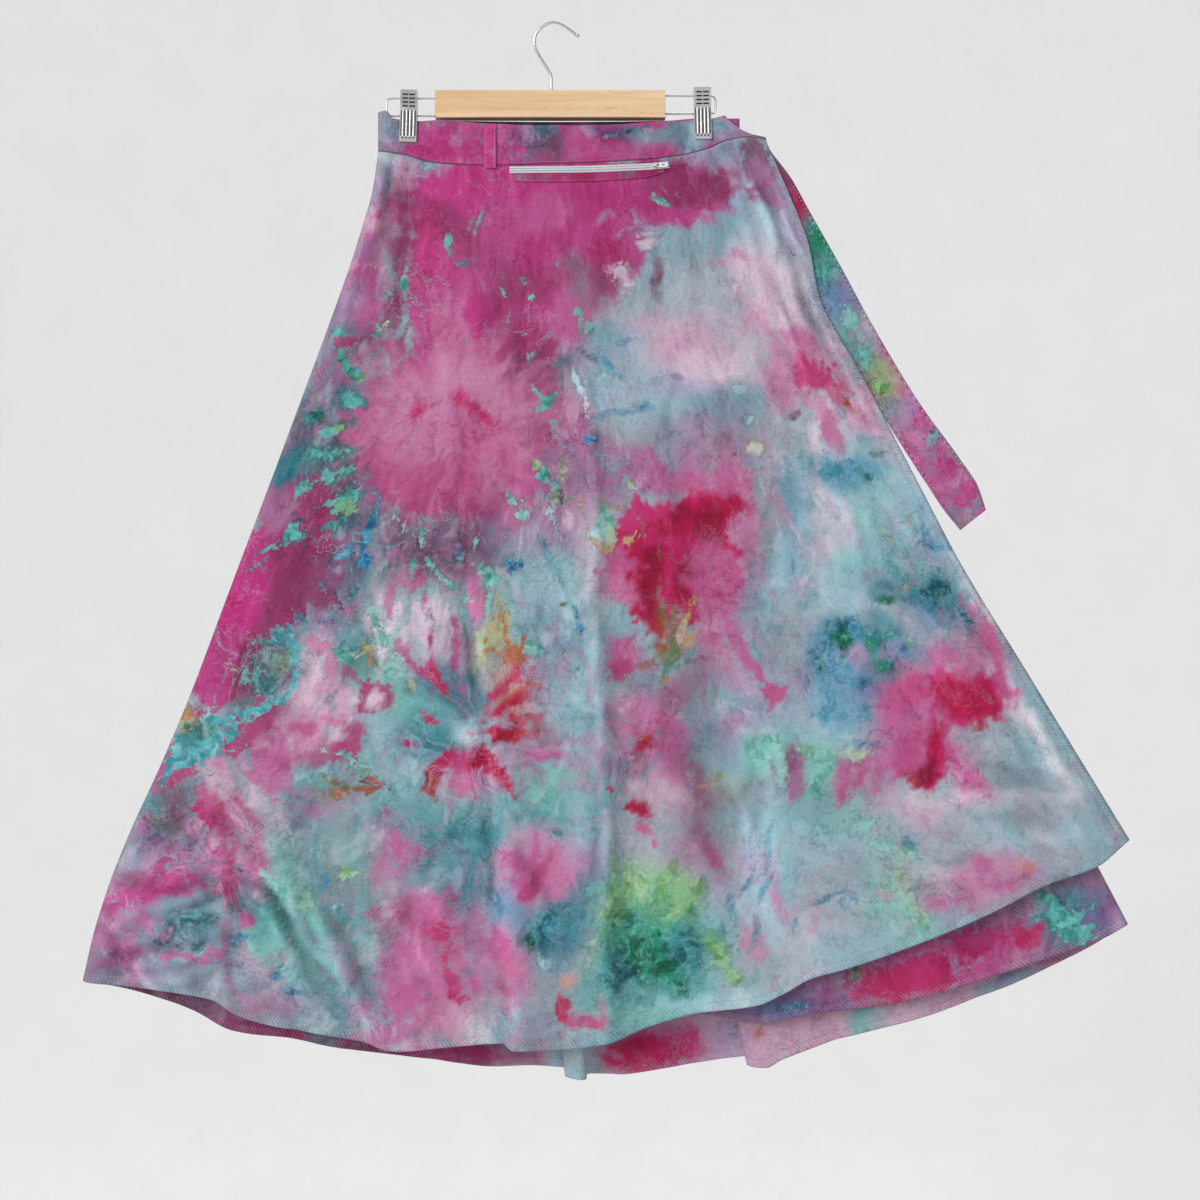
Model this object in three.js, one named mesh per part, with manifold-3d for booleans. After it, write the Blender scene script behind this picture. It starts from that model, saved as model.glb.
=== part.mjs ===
// A long tie-dyed wrap skirt on a wooden clip hanger. Units are millimetres, +Z up.
// The origin is the inner top of the hanger's hook. The front of the skirt faces -Y,
// +X is the wearer's left, and the wall behind it is on +Y.
import * as THREE from "three";
import { mergeVertices } from "three/addons/utils/BufferGeometryUtils.js";
import Module from "manifold-3d";

const wasm = await Module();
wasm.setup();

// ---- driving sizes ----
const gap = 0.3;
const cloth = { panel: 1.2, band: 2, half: 0.45 };
const waistband = { left: -189, tip: 232, topRight: 188, fans: 166, sag: 4.9, fold: 204, underEnd: -57 };
const innerTie = { wide: 40, long: 500, top: -114, hang: -9, settled: 0.4 };
const bar = { long: 250, tall: 30, deep: 18, centreAcross: -2, top: -74, edge: 1.2 };
const wireHole = { deep: 12, spare: 0.5 };
const hookHole = { deep: 13, above: 3 };
const hookWire = 3.4;
const hookKnob = 2.5;
const loopWire = { thick: 2.2, bend: 5 };
const clip = { wide: 18.5, tall: 56, flange: 1.2, pivot: 17.5, springRadius: 3 };
const jawLip = { thick: 1.4, shoulder: 1.9, rounded: 2, pinch: 2.5, relief: 3.5, set: 0.5 };
const loops = [
  { side: "left", toward: -1, end: -180.6, upper: -81.4, lower: -100.5 },
  { side: "right", toward: 1, end: 178, upper: -78.6, lower: -98.1 },
];
const clips = [
  { side: "left", across: -155.5, top: -73.5, tiltDeg: -1.8, halfGap: 2.6 },
  { side: "right", across: 163.3, top: -70.7, tiltDeg: 1, halfGap: 3.8 },
];
const zip = { from: -46, to: 125, dropLeft: 2, dropRight: 5, tall: 7, thick: 1, slider: 109.5, welt: 1 };
const slider = { long: 5.6, tall: 6.6, thick: 1.8, nose: 1.2, tail: 0.8 };
const arch = { inner: 1.3, outer: 2.2, top: 4.1, wide: 1.6, shoulder: 0.6, sunk: 0.4 };
const pull = { long: 14, thick: 1.2, neck: 2.2, half: 2.8, lift: 2.9, taper: 6, round: 2.8, arc: 1.27 };
const pullHoles = { ringLong: 3.4, ringHalf: 1.3, diamondFrom: 6.2, diamondTo: 10.6, diamondHalf: 1.3 };
const beltLoop = { across: -67, wide: 13.6, above: -112, below: -160.5, thick: 1.2, bulge: 0.8 };

// ---- tables ----
// Depth of each layer of the waistband, along the waist. The clips press the layers together.
const waistRows = [
  { across: -189, front: -3.5, under: 0, back: 2.9 },
  { across: -178, front: -3.5, under: 0, back: 2.9 },
  { across: -169, front: -1.3, under: 0, back: 1.3 },
  { across: -143, front: -1.3, under: 0, back: 1.3 },
  { across: -120, front: -5, under: -2.1, back: 4 },
  { across: -60, front: -12.5, under: -9.6, back: 8.5 },
  { across: 0, front: -16, under: -13.1, back: 10.5 },
  { across: 60, front: -14, under: -11.1, back: 9.5 },
  { across: 120, front: -8, under: -5.1, back: 5.5 },
  { across: 150, front: -2.5, under: 0, back: 2.5 },
  { across: 176, front: -2.5, under: 0, back: 2.5 },
  { across: 186, front: -6.2, under: -1.3, back: 1.5 },
  { across: 232, front: -6.2, under: -1.3, back: 1.5 },
];
// Upper edge and lower seam of the outer waistband.
const bandTopRows = [
  { across: -189, height: -97 },
  { across: -180, height: -95.5 },
  { across: -174, height: -103.5 },
  { across: -145, height: -106.5 },
  { across: -126, height: -106 },
  { across: -75, height: -111 },
  { across: 12, height: -115.5 },
  { across: 50, height: -114.5 },
  { across: 123, height: -108 },
  { across: 154, height: -106 },
  { across: 173, height: -104 },
  { across: 188, height: -101.5 },
];
const seamRows = [
  { across: -187, height: -140 },
  { across: -162, height: -143 },
  { across: -137, height: -150.5 },
  { across: -117, height: -154 },
  { across: -61, height: -157 },
  { across: 9, height: -156 },
  { across: 105, height: -150 },
  { across: 141, height: -144 },
  { across: 168, height: -137 },
  { across: 192, height: -128 },
  { across: 214, height: -125 },
  { across: 232, height: -128 },
];
// Upper edges of the two bands behind it.
const backTopRows = [
  { across: -189, height: -97 },
  { across: -180, height: -95.5 },
  { across: -174, height: -103.5 },
  { across: -145, height: -106 },
  { across: 3, height: -106.5 },
  { across: 123, height: -105.5 },
  { across: 155, height: -103.5 },
  { across: 204, height: -103.5 },
];
const backSeamRows = [
  { across: -189, height: -140 },
  { across: -150, height: -144.5 },
  { across: 0, height: -147 },
  { across: 204, height: -143.5 },
];
const underSeamRows = [
  { across: -57, height: -154 },
  { across: 60, height: -152 },
  { across: 204, height: -143.5 },
];
const underTopRows = [
  { across: -57, height: -114 },
  { across: 50, height: -113 },
  { across: 123, height: -107 },
  { across: 155, height: -103.5 },
  { across: 204, height: -103.5 },
];
// Hems, walked from the left fold to the free edge or to the right fold.
const frontHemRows = [
  { across: -511, height: -1042, depth: -0.45 },
  { across: -508, height: -1043, depth: -7 },
  { across: -498, height: -1044, depth: -12 },
  { across: -454, height: -1047, depth: -18 },
  { across: -423, height: -1051, depth: -21 },
  { across: -370, height: -1060, depth: -20 },
  { across: -336, height: -1080, depth: -24 },
  { across: -267, height: -1095, depth: -24 },
  { across: -207, height: -1104, depth: -27 },
  { across: -175, height: -1114, depth: -31 },
  { across: -108, height: -1109, depth: -28 },
  { across: -54, height: -1106, depth: -25 },
  { across: -42, height: -1113, depth: -29 },
  { across: 7, height: -1111, depth: -31 },
  { across: 56, height: -1105, depth: -32 },
  { across: 100, height: -1088, depth: -28 },
  { across: 156, height: -1071, depth: -32 },
  { across: 222, height: -1063, depth: -35 },
  { across: 250, height: -1051, depth: -31 },
  { across: 276, height: -1036, depth: -27 },
  { across: 321, height: -1023, depth: -29 },
  { across: 397, height: -997, depth: -25 },
  { across: 458, height: -971, depth: -25 },
  { across: 536, height: -934, depth: -21 },
  { across: 589, height: -916, depth: -17 },
  { across: 626, height: -888, depth: -12 },
];
const backHemRows = [
  { across: -511, height: -1042, depth: 0.45 },
  { across: -508, height: -1045, depth: 7 },
  { across: -498, height: -1048, depth: 12 },
  { across: -464, height: -1056, depth: 17 },
  { across: -398, height: -1080, depth: 26 },
  { across: -349, height: -1102, depth: 19 },
  { across: -290, height: -1112, depth: 29 },
  { across: -236, height: -1121, depth: 20 },
  { across: -140, height: -1134, depth: 30 },
  { across: -61, height: -1141, depth: 21 },
  { across: -20, height: -1141, depth: 26 },
  { across: 19, height: -1144, depth: 26 },
  { across: 24, height: -1146, depth: 22 },
  { across: 13, height: -1149, depth: 15 },
  { across: 17, height: -1151, depth: 10 },
  { across: 34, height: -1154, depth: 10 },
  { across: 38, height: -1153, depth: 15 },
  { across: 32, height: -1152, depth: 22 },
  { across: 42, height: -1151, depth: 28 },
  { across: 74, height: -1152, depth: 29 },
  { across: 116, height: -1145, depth: 22 },
  { across: 179, height: -1136, depth: 29 },
  { across: 222, height: -1131, depth: 27 },
  { across: 226, height: -1132, depth: 22 },
  { across: 213, height: -1137, depth: 13 },
  { across: 218, height: -1139, depth: 9.5 },
  { across: 233, height: -1140, depth: 9 },
  { across: 250, height: -1132, depth: 12 },
  { across: 305, height: -1114, depth: 20 },
  { across: 350, height: -1100, depth: 12 },
  { across: 404, height: -1086, depth: 10 },
  { across: 472, height: -1063, depth: 19 },
  { across: 545, height: -1030, depth: 11 },
  { across: 598, height: -1001, depth: 9 },
  { across: 622, height: -985, depth: 5 },
  { across: 627, height: -981, depth: 0.6 },
];
const underHemRows = [
  { across: 52, height: -1066, depth: -8 },
  { across: 110, height: -1071, depth: -14 },
  { across: 165, height: -1077, depth: -13 },
  { across: 219, height: -1088, depth: -6 },
  { across: 282, height: -1077, depth: -12 },
  { across: 365, height: -1068, depth: -5 },
  { across: 420, height: -1055, depth: -11 },
  { across: 503, height: -1030, depth: -4 },
  { across: 559, height: -1010, depth: -7 },
  { across: 600, height: -995, depth: -6 },
  { across: 622, height: -984, depth: -4 },
  { across: 627, height: -981, depth: -0.6 },
];
// How far the side edges leave the straight line from waist to hem, towards +X.
const leftEdgeRows = [
  { drop: 0, bow: 0 },
  { drop: 0.06, bow: 10 },
  { drop: 0.16, bow: 13.5 },
  { drop: 0.35, bow: 11.5 },
  { drop: 0.54, bow: 8 },
  { drop: 0.64, bow: 6.5 },
  { drop: 0.735, bow: 1.6 },
  { drop: 0.83, bow: -6.7 },
  { drop: 0.88, bow: -8.6 },
  { drop: 0.93, bow: -7.3 },
  { drop: 1, bow: 0 },
];
const wrapEdgeRows = [
  { drop: 0, bow: 0 },
  { drop: 0.13, bow: -9 },
  { drop: 0.25, bow: -32 },
  { drop: 0.35, bow: -28 },
  { drop: 0.57, bow: -28 },
  { drop: 0.77, bow: -16 },
  { drop: 0.885, bow: -8 },
  { drop: 1, bow: 0 },
];
const foldEdgeRows = [
  { drop: 0, bow: 0 },
  { drop: 0.25, bow: -6 },
  { drop: 0.6, bow: -6 },
  { drop: 1, bow: 0 },
];
// Soft folds of the front: where each line starts at the waist and ends at the hem, as a share of the
// panel's width, its half width, how far it swells, how far the cloth steps there, and where it begins.
const frontFolds = [
  { waist: 0.25, hem: 0.405, wide: 0.009, swell: -1.5, step: -2.6, begins: 0.12 },
  { waist: 0.47, hem: 0.5, wide: 0.01, swell: -2.6, step: -0.8, begins: 0.12 },
  { waist: 0.54, hem: 0.645, wide: 0.03, swell: 6, step: 0, begins: 0.3 },
  { waist: 0.63, hem: 0.672, wide: 0.018, swell: -4, step: 0, begins: 0.45 },
  { waist: 0.02, hem: 0.285, wide: 0.016, swell: 6, step: -1, begins: 0.74 },
  { waist: 0, hem: 0.21, wide: 0.012, swell: 5, step: 0, begins: 0.78 },
  { waist: 0, hem: 0.155, wide: 0.01, swell: 5, step: 0, begins: 0.78 },
  { waist: 0.33, hem: 0.335, wide: 0.05, swell: -4, step: 0, begins: 0.35 },
  { waist: 0.86, hem: 0.86, wide: 0.04, swell: -5, step: 0, begins: 0.4 },
];
const foldFree = 0.04; // share of the panel at each side edge that the folds leave flat
const noFolds = [];
// Edges of the outer tie, from the folded end of the waistband down to its free end.
const tieRows = [
  { outerX: 231, outerZ: -130, innerX: 190, innerZ: -111, depth: -3.6 },
  { outerX: 241, outerZ: -144, innerX: 204, innerZ: -163, depth: -3.6 },
  { outerX: 258, outerZ: -166, innerX: 222, innerZ: -190, depth: -3.7 },
  { outerX: 280, outerZ: -205, innerX: 245, innerZ: -226, depth: -4 },
  { outerX: 317, outerZ: -271, innerX: 283, innerZ: -292, depth: -4.6 },
  { outerX: 345, outerZ: -323, innerX: 310, innerZ: -343, depth: -5 },
  { outerX: 397, outerZ: -410, innerX: 362, innerZ: -431, depth: -4.6 },
  { outerX: 443, outerZ: -474, innerX: 406, innerZ: -500, depth: -5.4 },
  { outerX: 463, outerZ: -504, innerX: 426, innerZ: -530, depth: -4.2 },
  { outerX: 472, outerZ: -530, innerX: 444, innerZ: -552, depth: -4 },
];
// The strip under the zip: how far below the seam its two edges run.
const weltRows = [
  { across: -42.5, upper: 9.8, lower: 17.5 },
  { across: -20, upper: 10, lower: 19.5 },
  { across: 52, upper: 11, lower: 20.5 },
  { across: 96, upper: 12, lower: 20 },
  { across: 118, upper: 12.5, lower: 15.5 },
];
// Outline of a clip's jaw seen from its end: distance out from the wires, and height below its top.
const jawRows = [
  { outer: 8, inner: 6.6, height: 0 },
  { outer: 5.2, inner: 3.8, height: -20 },
];
const flangeRows = [
  { out: 1.4, height: -4 },
  { out: 7, height: -4 },
  { out: 4.9, height: -20 },
  { out: 4.3, height: -29 },
  { out: 1.4, height: -29 },
];
const earRows = [
  { out: 1.6, height: -14 },
  { out: 1.6, height: -21 },
  { out: -1.1, height: -19.5 },
  { out: -1.1, height: -15.5 },
];
const slots = { pitchAcross: 3.7, wide: 6.2, tall: 1.6, through: [2, 12] };
const slotHeights = [-5.1, -9.2, -13.3, -17.4];
const flutes = { across: [-5.85, -1.95, 1.95, 5.85], thick: 2, sunk: 0.3, top: -22, bottom: -50.5 };
// Centre of the hook's wire, from inside the bar to the tip.
const hookRows = [
  { across: -1, height: -86 },
  { across: -1, height: -70 },
  { across: -2, height: -55 },
  { across: -12, height: -38 },
  { across: -19.5, height: -22 },
  { across: -16, height: -8 },
  { across: 0, height: hookWire / 2 },
  { across: 13, height: -2 },
  { across: 21, height: -8 },
  { across: 27.5, height: -12.5 },
];

// ---- helpers ----
const lerp = THREE.MathUtils.lerp;
const smooth = THREE.MathUtils.smoothstep;

// Reads one column of a table at a position on another, without overshoot between its rows.
function along(rows, key, at, column) {
  let i = 0;
  while (i < rows.length - 2 && at > rows[i + 1][key]) i += 1;
  const slope = (k) =>
    (rows[k + 1][column] - rows[k][column]) / (rows[k + 1][key] - rows[k][key]);
  const bend = (k) => {
    if (k <= 0) return slope(0);
    if (k >= rows.length - 1) return slope(rows.length - 2);
    const before = slope(k - 1);
    const after = slope(k);
    return before * after <= 0 ? 0 : (2 * before * after) / (before + after);
  };
  const span = rows[i + 1][key] - rows[i][key];
  const u = THREE.MathUtils.clamp((at - rows[i][key]) / span, 0, 1);
  const v = 1 - u;
  return (
    rows[i][column] * v * v * (1 + 2 * u) +
    rows[i + 1][column] * u * u * (1 + 2 * v) +
    span * u * v * (v * bend(i) - u * bend(i + 1))
  );
}

const evenly = (count) => Array.from({ length: count + 1 }, (_, i) => i / count);

// Quarter round: 0 at a fold, 1 from `reach` inside it.
function turned(distance, reach) {
  const left = 1 - THREE.MathUtils.clamp(distance / reach, 0, 1);
  return Math.sqrt(Math.max(0, 1 - left * left));
}

// Unit normal of the surface point(s, t), on the -Y side where s runs along +X and t runs down.
function normalAt(point, s, t) {
  const step = 1e-4;
  const across = point(Math.min(1, s + step), t).sub(point(Math.max(0, s - step), t));
  const down = point(s, Math.min(1, t + step)).sub(point(s, Math.max(0, t - step)));
  return down.cross(across).normalize();
}

// Closed wall on both sides of the surface point(s, t); `out` moves it off the surface.
function wall(point, columns, rows, thickness, out = 0) {
  const positions = [];
  for (const side of [1, -1]) {
    for (const t of rows) {
      for (const s of columns) {
        const offset = out + (side * thickness) / 2;
        const p = point(s, t).addScaledVector(normalAt(point, s, t), offset);
        positions.push(p.x, p.y, p.z);
      }
    }
  }
  const wide = columns.length;
  const layer = wide * rows.length;
  const index = [];
  for (let j = 0; j < rows.length - 1; j += 1) {
    for (let i = 0; i < wide - 1; i += 1) {
      const a = j * wide + i;
      const b = a + 1;
      const d = a + wide;
      const c = d + 1;
      index.push(a, c, b, a, d, c);
      index.push(layer + a, layer + b, layer + c, layer + a, layer + c, layer + d);
    }
  }
  const last = (rows.length - 1) * wide;
  const rim = [];
  for (let i = 0; i < wide; i += 1) rim.push(i);
  for (let j = 1; j < rows.length; j += 1) rim.push(j * wide + wide - 1);
  for (let i = wide - 2; i >= 0; i -= 1) rim.push(last + i);
  for (let j = rows.length - 2; j > 0; j -= 1) rim.push(j * wide);
  rim.forEach((p, k) => {
    const q = rim[(k + 1) % rim.length];
    index.push(p, q, layer + q, p, layer + q, layer + p);
  });
  const geometry = new THREE.BufferGeometry();
  geometry.setAttribute("position", new THREE.Float32BufferAttribute(positions, 3));
  geometry.setIndex(index);
  return geometry;
}

function solid(geometry) {
  const bare = geometry.clone();
  bare.deleteAttribute("normal");
  bare.deleteAttribute("uv");
  const merged = mergeVertices(bare, 1e-4);
  return new wasm.Manifold(
    new wasm.Mesh({
      numProp: 3,
      vertProperties: new Float32Array(merged.attributes.position.array),
      triVerts: new Uint32Array(merged.index.array),
    }),
  );
}

function geometryOf(manifold) {
  const mesh = manifold.getMesh();
  const geometry = new THREE.BufferGeometry();
  geometry.setAttribute("position", new THREE.BufferAttribute(mesh.vertProperties, 3));
  geometry.setIndex(new THREE.BufferAttribute(mesh.triVerts, 1));
  return geometry;
}

function box(x, y, z) {
  const geometry = new THREE.BoxGeometry(x[1] - x[0], y[1] - y[0], z[1] - z[0]);
  return geometry.translate((x[0] + x[1]) / 2, (y[0] + y[1]) / 2, (z[0] + z[1]) / 2);
}

// Round bar along X, from x = from to x = to.
function rodX(radius, from, to, y, z, sides = 16) {
  const geometry = new THREE.CylinderGeometry(radius, radius, to - from, sides);
  return geometry.rotateZ(Math.PI / 2).translate((from + to) / 2, y, z);
}

// Round wire along a curve.
function wire(curve, thick, steps, sides) {
  const section = new THREE.Shape();
  section.absarc(0, 0, thick / 2, 0, 2 * Math.PI, false);
  return new THREE.ExtrudeGeometry(section, {
    steps,
    curveSegments: sides / 2,
    bevelEnabled: false,
    extrudePath: curve,
  });
}

const finishes = {
  dyedFront: { color: 0xc9799f, roughness: 0.85, metalness: 0 },
  dyedBack: { color: 0xb26a93, roughness: 0.85, metalness: 0 },
  dyedUnder: { color: 0xa8407f, roughness: 0.85, metalness: 0 },
  dyedBand: { color: 0xa34a7c, roughness: 0.85, metalness: 0 },
  dyedTie: { color: 0x6fb3a8, roughness: 0.85, metalness: 0 },
  tape: { color: 0xe6e8ea, roughness: 0.7, metalness: 0 },
  enamel: { color: 0xf0f0f0, roughness: 0.35, metalness: 0.1 },
  wood: { color: 0xe2bf8b, roughness: 0.6, metalness: 0 },
  steel: { color: 0xc8cbd0, roughness: 0.2, metalness: 1 },
};

const skirt = new THREE.Group();

function add(name, geometry, finish, parent = skirt) {
  const mesh = new THREE.Mesh(geometry, new THREE.MeshStandardMaterial(finishes[finish]));
  mesh.name = name;
  parent.add(mesh);
  return mesh;
}

// ---- waistband ----
const seamHeight = (x) => along(seamRows, "across", x, "height");

// Depth of a waistband layer, turned in at the fold where it meets the layer behind or before it.
function layerDepth(layer, x, foldAt) {
  const full = along(waistRows, "across", x, layer);
  const inside = Math.abs(x - foldAt);
  return lerp(Math.sign(full) * cloth.half, full, turned(inside, Math.abs(full)));
}

const frontDepth = (x) => layerDepth("front", x, waistband.left);
const backDepth = (x) =>
  x < 0 ? layerDepth("back", x, waistband.left) : layerDepth("back", x, waistband.fold);
const underDepth = (x) => layerDepth("under", x, waistband.fold);

// Its free end is folded on the slant and sags a little, so the columns fan out towards the tip.
function frontBand(s, t) {
  const lower = lerp(waistband.left, waistband.tip, s);
  const fan = Math.max(0, lower - waistband.fans) / (waistband.tip - waistband.fans);
  const upper = lower - fan * (waistband.tip - waistband.topRight);
  const x = lerp(upper, lower, t);
  const top = along(bandTopRows, "across", upper, "height");
  const sag = waistband.sag * fan ** 3 * Math.sin(Math.PI * t ** 0.7);
  return new THREE.Vector3(x, frontDepth(x), lerp(top, seamHeight(lower) + 2 * gap, t) - sag);
}

function straightBand(from, depth, topRows, bottomRows) {
  return (s, t) => {
    const x = lerp(from, waistband.fold, s);
    const bottom = along(bottomRows, "across", x, "height") + gap;
    return new THREE.Vector3(x, depth(x), lerp(along(topRows, "across", x, "height"), bottom, t));
  };
}
const backBand = straightBand(waistband.left, backDepth, backTopRows, backSeamRows);
const underBand = straightBand(waistband.underEnd, underDepth, underTopRows, underSeamRows);

// Even columns, with closer ones at a fold: at s = 0, at s = 1, or at both.
function columns(count, atStart, atEnd) {
  const close = [0.0008, 0.002, 0.004, 0.008, 0.015];
  const extra = [...(atStart ? close : []), ...(atEnd ? close.map((s) => 1 - s) : [])];
  return [...evenly(count), ...extra].sort((a, b) => a - b);
}
const bandRows = evenly(4);
const bands = [
  { name: "waistband_front", point: frontBand, across: columns(44, true, false), finish: "dyedBand" },
  { name: "waistband_back", point: backBand, across: columns(32, true, true), finish: "dyedBand" },
  { name: "waistband_under", point: underBand, across: columns(22, false, true), finish: "dyedUnder" },
];
for (const { name, point, across, finish } of bands) {
  add(name, wall(point, across, bandRows, cloth.band), finish);
}

// ---- panels ----
// A panel hangs from a line along the waist to a hem: its columns are straight, apart from the bow of its
// side edges and its folds. s runs evenly over the hem's rows; share is the part of the
// hem's length that this makes.
function panel({ hem, waist, leftBow, rightBow, folds }) {
  const curve = new THREE.CatmullRomCurve3(
    hem.map((row) => new THREE.Vector3(row.across, row.depth, row.height)),
    false,
    "centripetal",
  );
  const divisions = 4 * (hem.length - 1);
  const lengths = curve.getLengths(divisions);
  const shareAt = (s) => {
    const at = Math.min(s * divisions, divisions - 1e-6);
    const low = Math.floor(at);
    return lerp(lengths[low], lengths[low + 1], at - low) / lengths[divisions];
  };
  const point = (s, t) => {
    const share = shareAt(s);
    const p = waist(share).lerp(curve.getPoint(s), t);
    p.x += (1 - share) * along(leftBow, "drop", t, "bow");
    p.x += share * along(rightBow, "drop", t, "bow");
    for (const fold of folds) {
      const from = (share - lerp(fold.waist, fold.hem, t)) / fold.wide;
      const grown = smooth(t, fold.begins, 1) * smooth(share, 0, foldFree) * smooth(1 - share, 0, foldFree);
      p.y += grown * (fold.swell * Math.exp(-from * from) + fold.step * Math.tanh(from));
    }
    return p;
  };
  return { point, shareAt };
}

const frontPanel = panel({
  hem: frontHemRows,
  waist: (share) => {
    const x = lerp(waistband.left, waistband.tip, share);
    return new THREE.Vector3(x, frontDepth(x), seamHeight(x));
  },
  leftBow: leftEdgeRows,
  rightBow: wrapEdgeRows,
  folds: frontFolds,
});
const backPanel = panel({
  hem: backHemRows,
  waist: (share) => {
    const x = lerp(waistband.left, waistband.fold, share);
    return new THREE.Vector3(x, backDepth(x), along(backSeamRows, "across", x, "height") - gap);
  },
  leftBow: leftEdgeRows,
  rightBow: foldEdgeRows,
  folds: noFolds,
});
const underPanel = panel({
  hem: underHemRows,
  waist: (share) => {
    const x = lerp(waistband.underEnd, waistband.fold, share);
    return new THREE.Vector3(x, underDepth(x), along(underSeamRows, "across", x, "height") - gap);
  },
  leftBow: foldEdgeRows,
  rightBow: foldEdgeRows,
  folds: noFolds,
});

const perRow = (rows, count) => evenly((rows.length - 1) * count);
const panelRows = evenly(12);
add("front_panel", wall(frontPanel.point, perRow(frontHemRows, 2), panelRows, cloth.panel), "dyedFront");
add("back_panel", wall(backPanel.point, perRow(backHemRows, 2), panelRows, cloth.panel), "dyedBack");
add("under_panel", wall(underPanel.point, perRow(underHemRows, 2), panelRows, cloth.panel), "dyedUnder");

// ---- ties and belt loop ----
const tieEdge = (x, z) =>
  new THREE.CatmullRomCurve3(tieRows.map((row) => new THREE.Vector3(row[x], row.depth, row[z])));
const tieInnerEdge = tieEdge("innerX", "innerZ");
const tieOuterEdge = tieEdge("outerX", "outerZ");
const outerTie = (s, t) => tieInnerEdge.getPoint(t).lerp(tieOuterEdge.getPoint(t), s);
add("outer_tie", wall(outerTie, evenly(3), perRow(tieRows, 3), cloth.band), "dyedTie");

// The inner tie hangs straight down behind the front, from the end of the under band.
function hangingTie(s, t) {
  const right = waistband.underEnd - 2 * gap;
  const x = lerp(right - innerTie.wide, right, s);
  const behindFront = frontDepth(x) + cloth.band + 2 * gap;
  const y = lerp(behindFront, innerTie.hang, smooth(t, 0, innerTie.settled));
  return new THREE.Vector3(x, y, innerTie.top - innerTie.long * t);
}
add("inner_tie", wall(hangingTie, evenly(4), evenly(12), cloth.band), "dyedTie");

function loopStrip(s, t) {
  const x = beltLoop.across + beltLoop.wide * (s - 0.5);
  const stand = cloth.band / 2 + gap + beltLoop.thick / 2 + beltLoop.bulge * Math.sin(Math.PI * t);
  return new THREE.Vector3(x, frontDepth(x) - stand, lerp(beltLoop.above, beltLoop.below, t));
}
add("belt_loop", wall(loopStrip, evenly(2), evenly(8), beltLoop.thick), "dyedBand");

// ---- zip pocket ----
// A point of the front panel below the waist seam, by its distance along the waist and its drop.
function belowSeam(across, drop) {
  const share = (across - waistband.left) / (waistband.tip - waistband.left);
  let low = 0;
  let high = 1;
  while (high - low > 1e-7) {
    const middle = (low + high) / 2;
    if (frontPanel.shareAt(middle) < share) low = middle;
    else high = middle;
  }
  const columnLength = frontPanel.point(low, 0).distanceTo(frontPanel.point(low, 1));
  return frontPanel.point(low, drop / columnLength);
}
const zipDrop = (u) => lerp(zip.dropLeft, zip.dropRight, u);
const zipStrip = (s, t) => belowSeam(lerp(zip.from, zip.to, s), zipDrop(s) + zip.tall * t);
const tapeOut = cloth.panel / 2 + gap + zip.thick / 2;
add("zip_tape", wall(zipStrip, evenly(16), evenly(2), zip.thick, tapeOut), "tape");

function weltStrip(s, t) {
  const x = lerp(weltRows[0].across, weltRows[weltRows.length - 1].across, s);
  const upper = along(weltRows, "across", x, "upper");
  return belowSeam(x, lerp(upper, along(weltRows, "across", x, "lower"), t));
}
const weltOut = cloth.panel / 2 + gap + zip.welt / 2;
add("pocket_welt", wall(weltStrip, evenly(16), evenly(2), zip.welt, weltOut), "dyedFront");

// The slider's own frame: x along the zip, y up the skirt, z out of the cloth, on the face of the tape.
const sliderShare = (zip.slider - zip.from) / (zip.to - zip.from);
const sliderAt = zipStrip(sliderShare, 0.5);
const alongZip = zipStrip(sliderShare + 0.02, 0.5).sub(zipStrip(sliderShare - 0.02, 0.5)).normalize();
const outOfCloth = normalAt(zipStrip, sliderShare, 0.5);
outOfCloth.addScaledVector(alongZip, -outOfCloth.dot(alongZip)).normalize();
const upSkirt = outOfCloth.clone().cross(alongZip);
const sliderFrame = new THREE.Group();
sliderFrame.quaternion.setFromRotationMatrix(new THREE.Matrix4().makeBasis(alongZip, upSkirt, outOfCloth));
sliderFrame.position.copy(sliderAt).addScaledVector(outOfCloth, tapeOut + zip.thick / 2 + gap);
skirt.add(sliderFrame);

function sliderBody() {
  const end = slider.long / 2;
  const half = slider.tall / 2;
  const outline = new THREE.Shape();
  outline.moveTo(-end, -half + slider.nose);
  outline.lineTo(-end + slider.nose, -half);
  outline.lineTo(end - slider.tail, -half);
  outline.lineTo(end, -half + slider.tail);
  outline.lineTo(end, half - slider.tail);
  outline.lineTo(end - slider.tail, half);
  outline.lineTo(-end + slider.nose, half);
  outline.lineTo(-end, half - slider.nose);
  outline.closePath();
  const body = new THREE.ExtrudeGeometry(outline, { depth: slider.thick, bevelEnabled: false });
  const foot = slider.thick - arch.sunk;
  const crown = arch.top + arch.outer - arch.inner;
  const side = new THREE.Shape();
  side.moveTo(-arch.outer, foot);
  side.lineTo(-arch.outer, arch.top - arch.shoulder);
  side.lineTo(-arch.inner, crown);
  side.lineTo(arch.inner, crown);
  side.lineTo(arch.outer, arch.top - arch.shoulder);
  side.lineTo(arch.outer, foot);
  side.lineTo(arch.inner, foot);
  side.lineTo(arch.inner, arch.top);
  side.lineTo(-arch.inner, arch.top);
  side.lineTo(-arch.inner, foot);
  side.closePath();
  const bridge = new THREE.ExtrudeGeometry(side, { depth: arch.wide, bevelEnabled: false });
  bridge.translate(0, 0, -arch.wide / 2).rotateX(Math.PI / 2);
  return geometryOf(solid(body).add(solid(bridge)));
}
add("zip_slider", sliderBody(), "enamel", sliderFrame);

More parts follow.
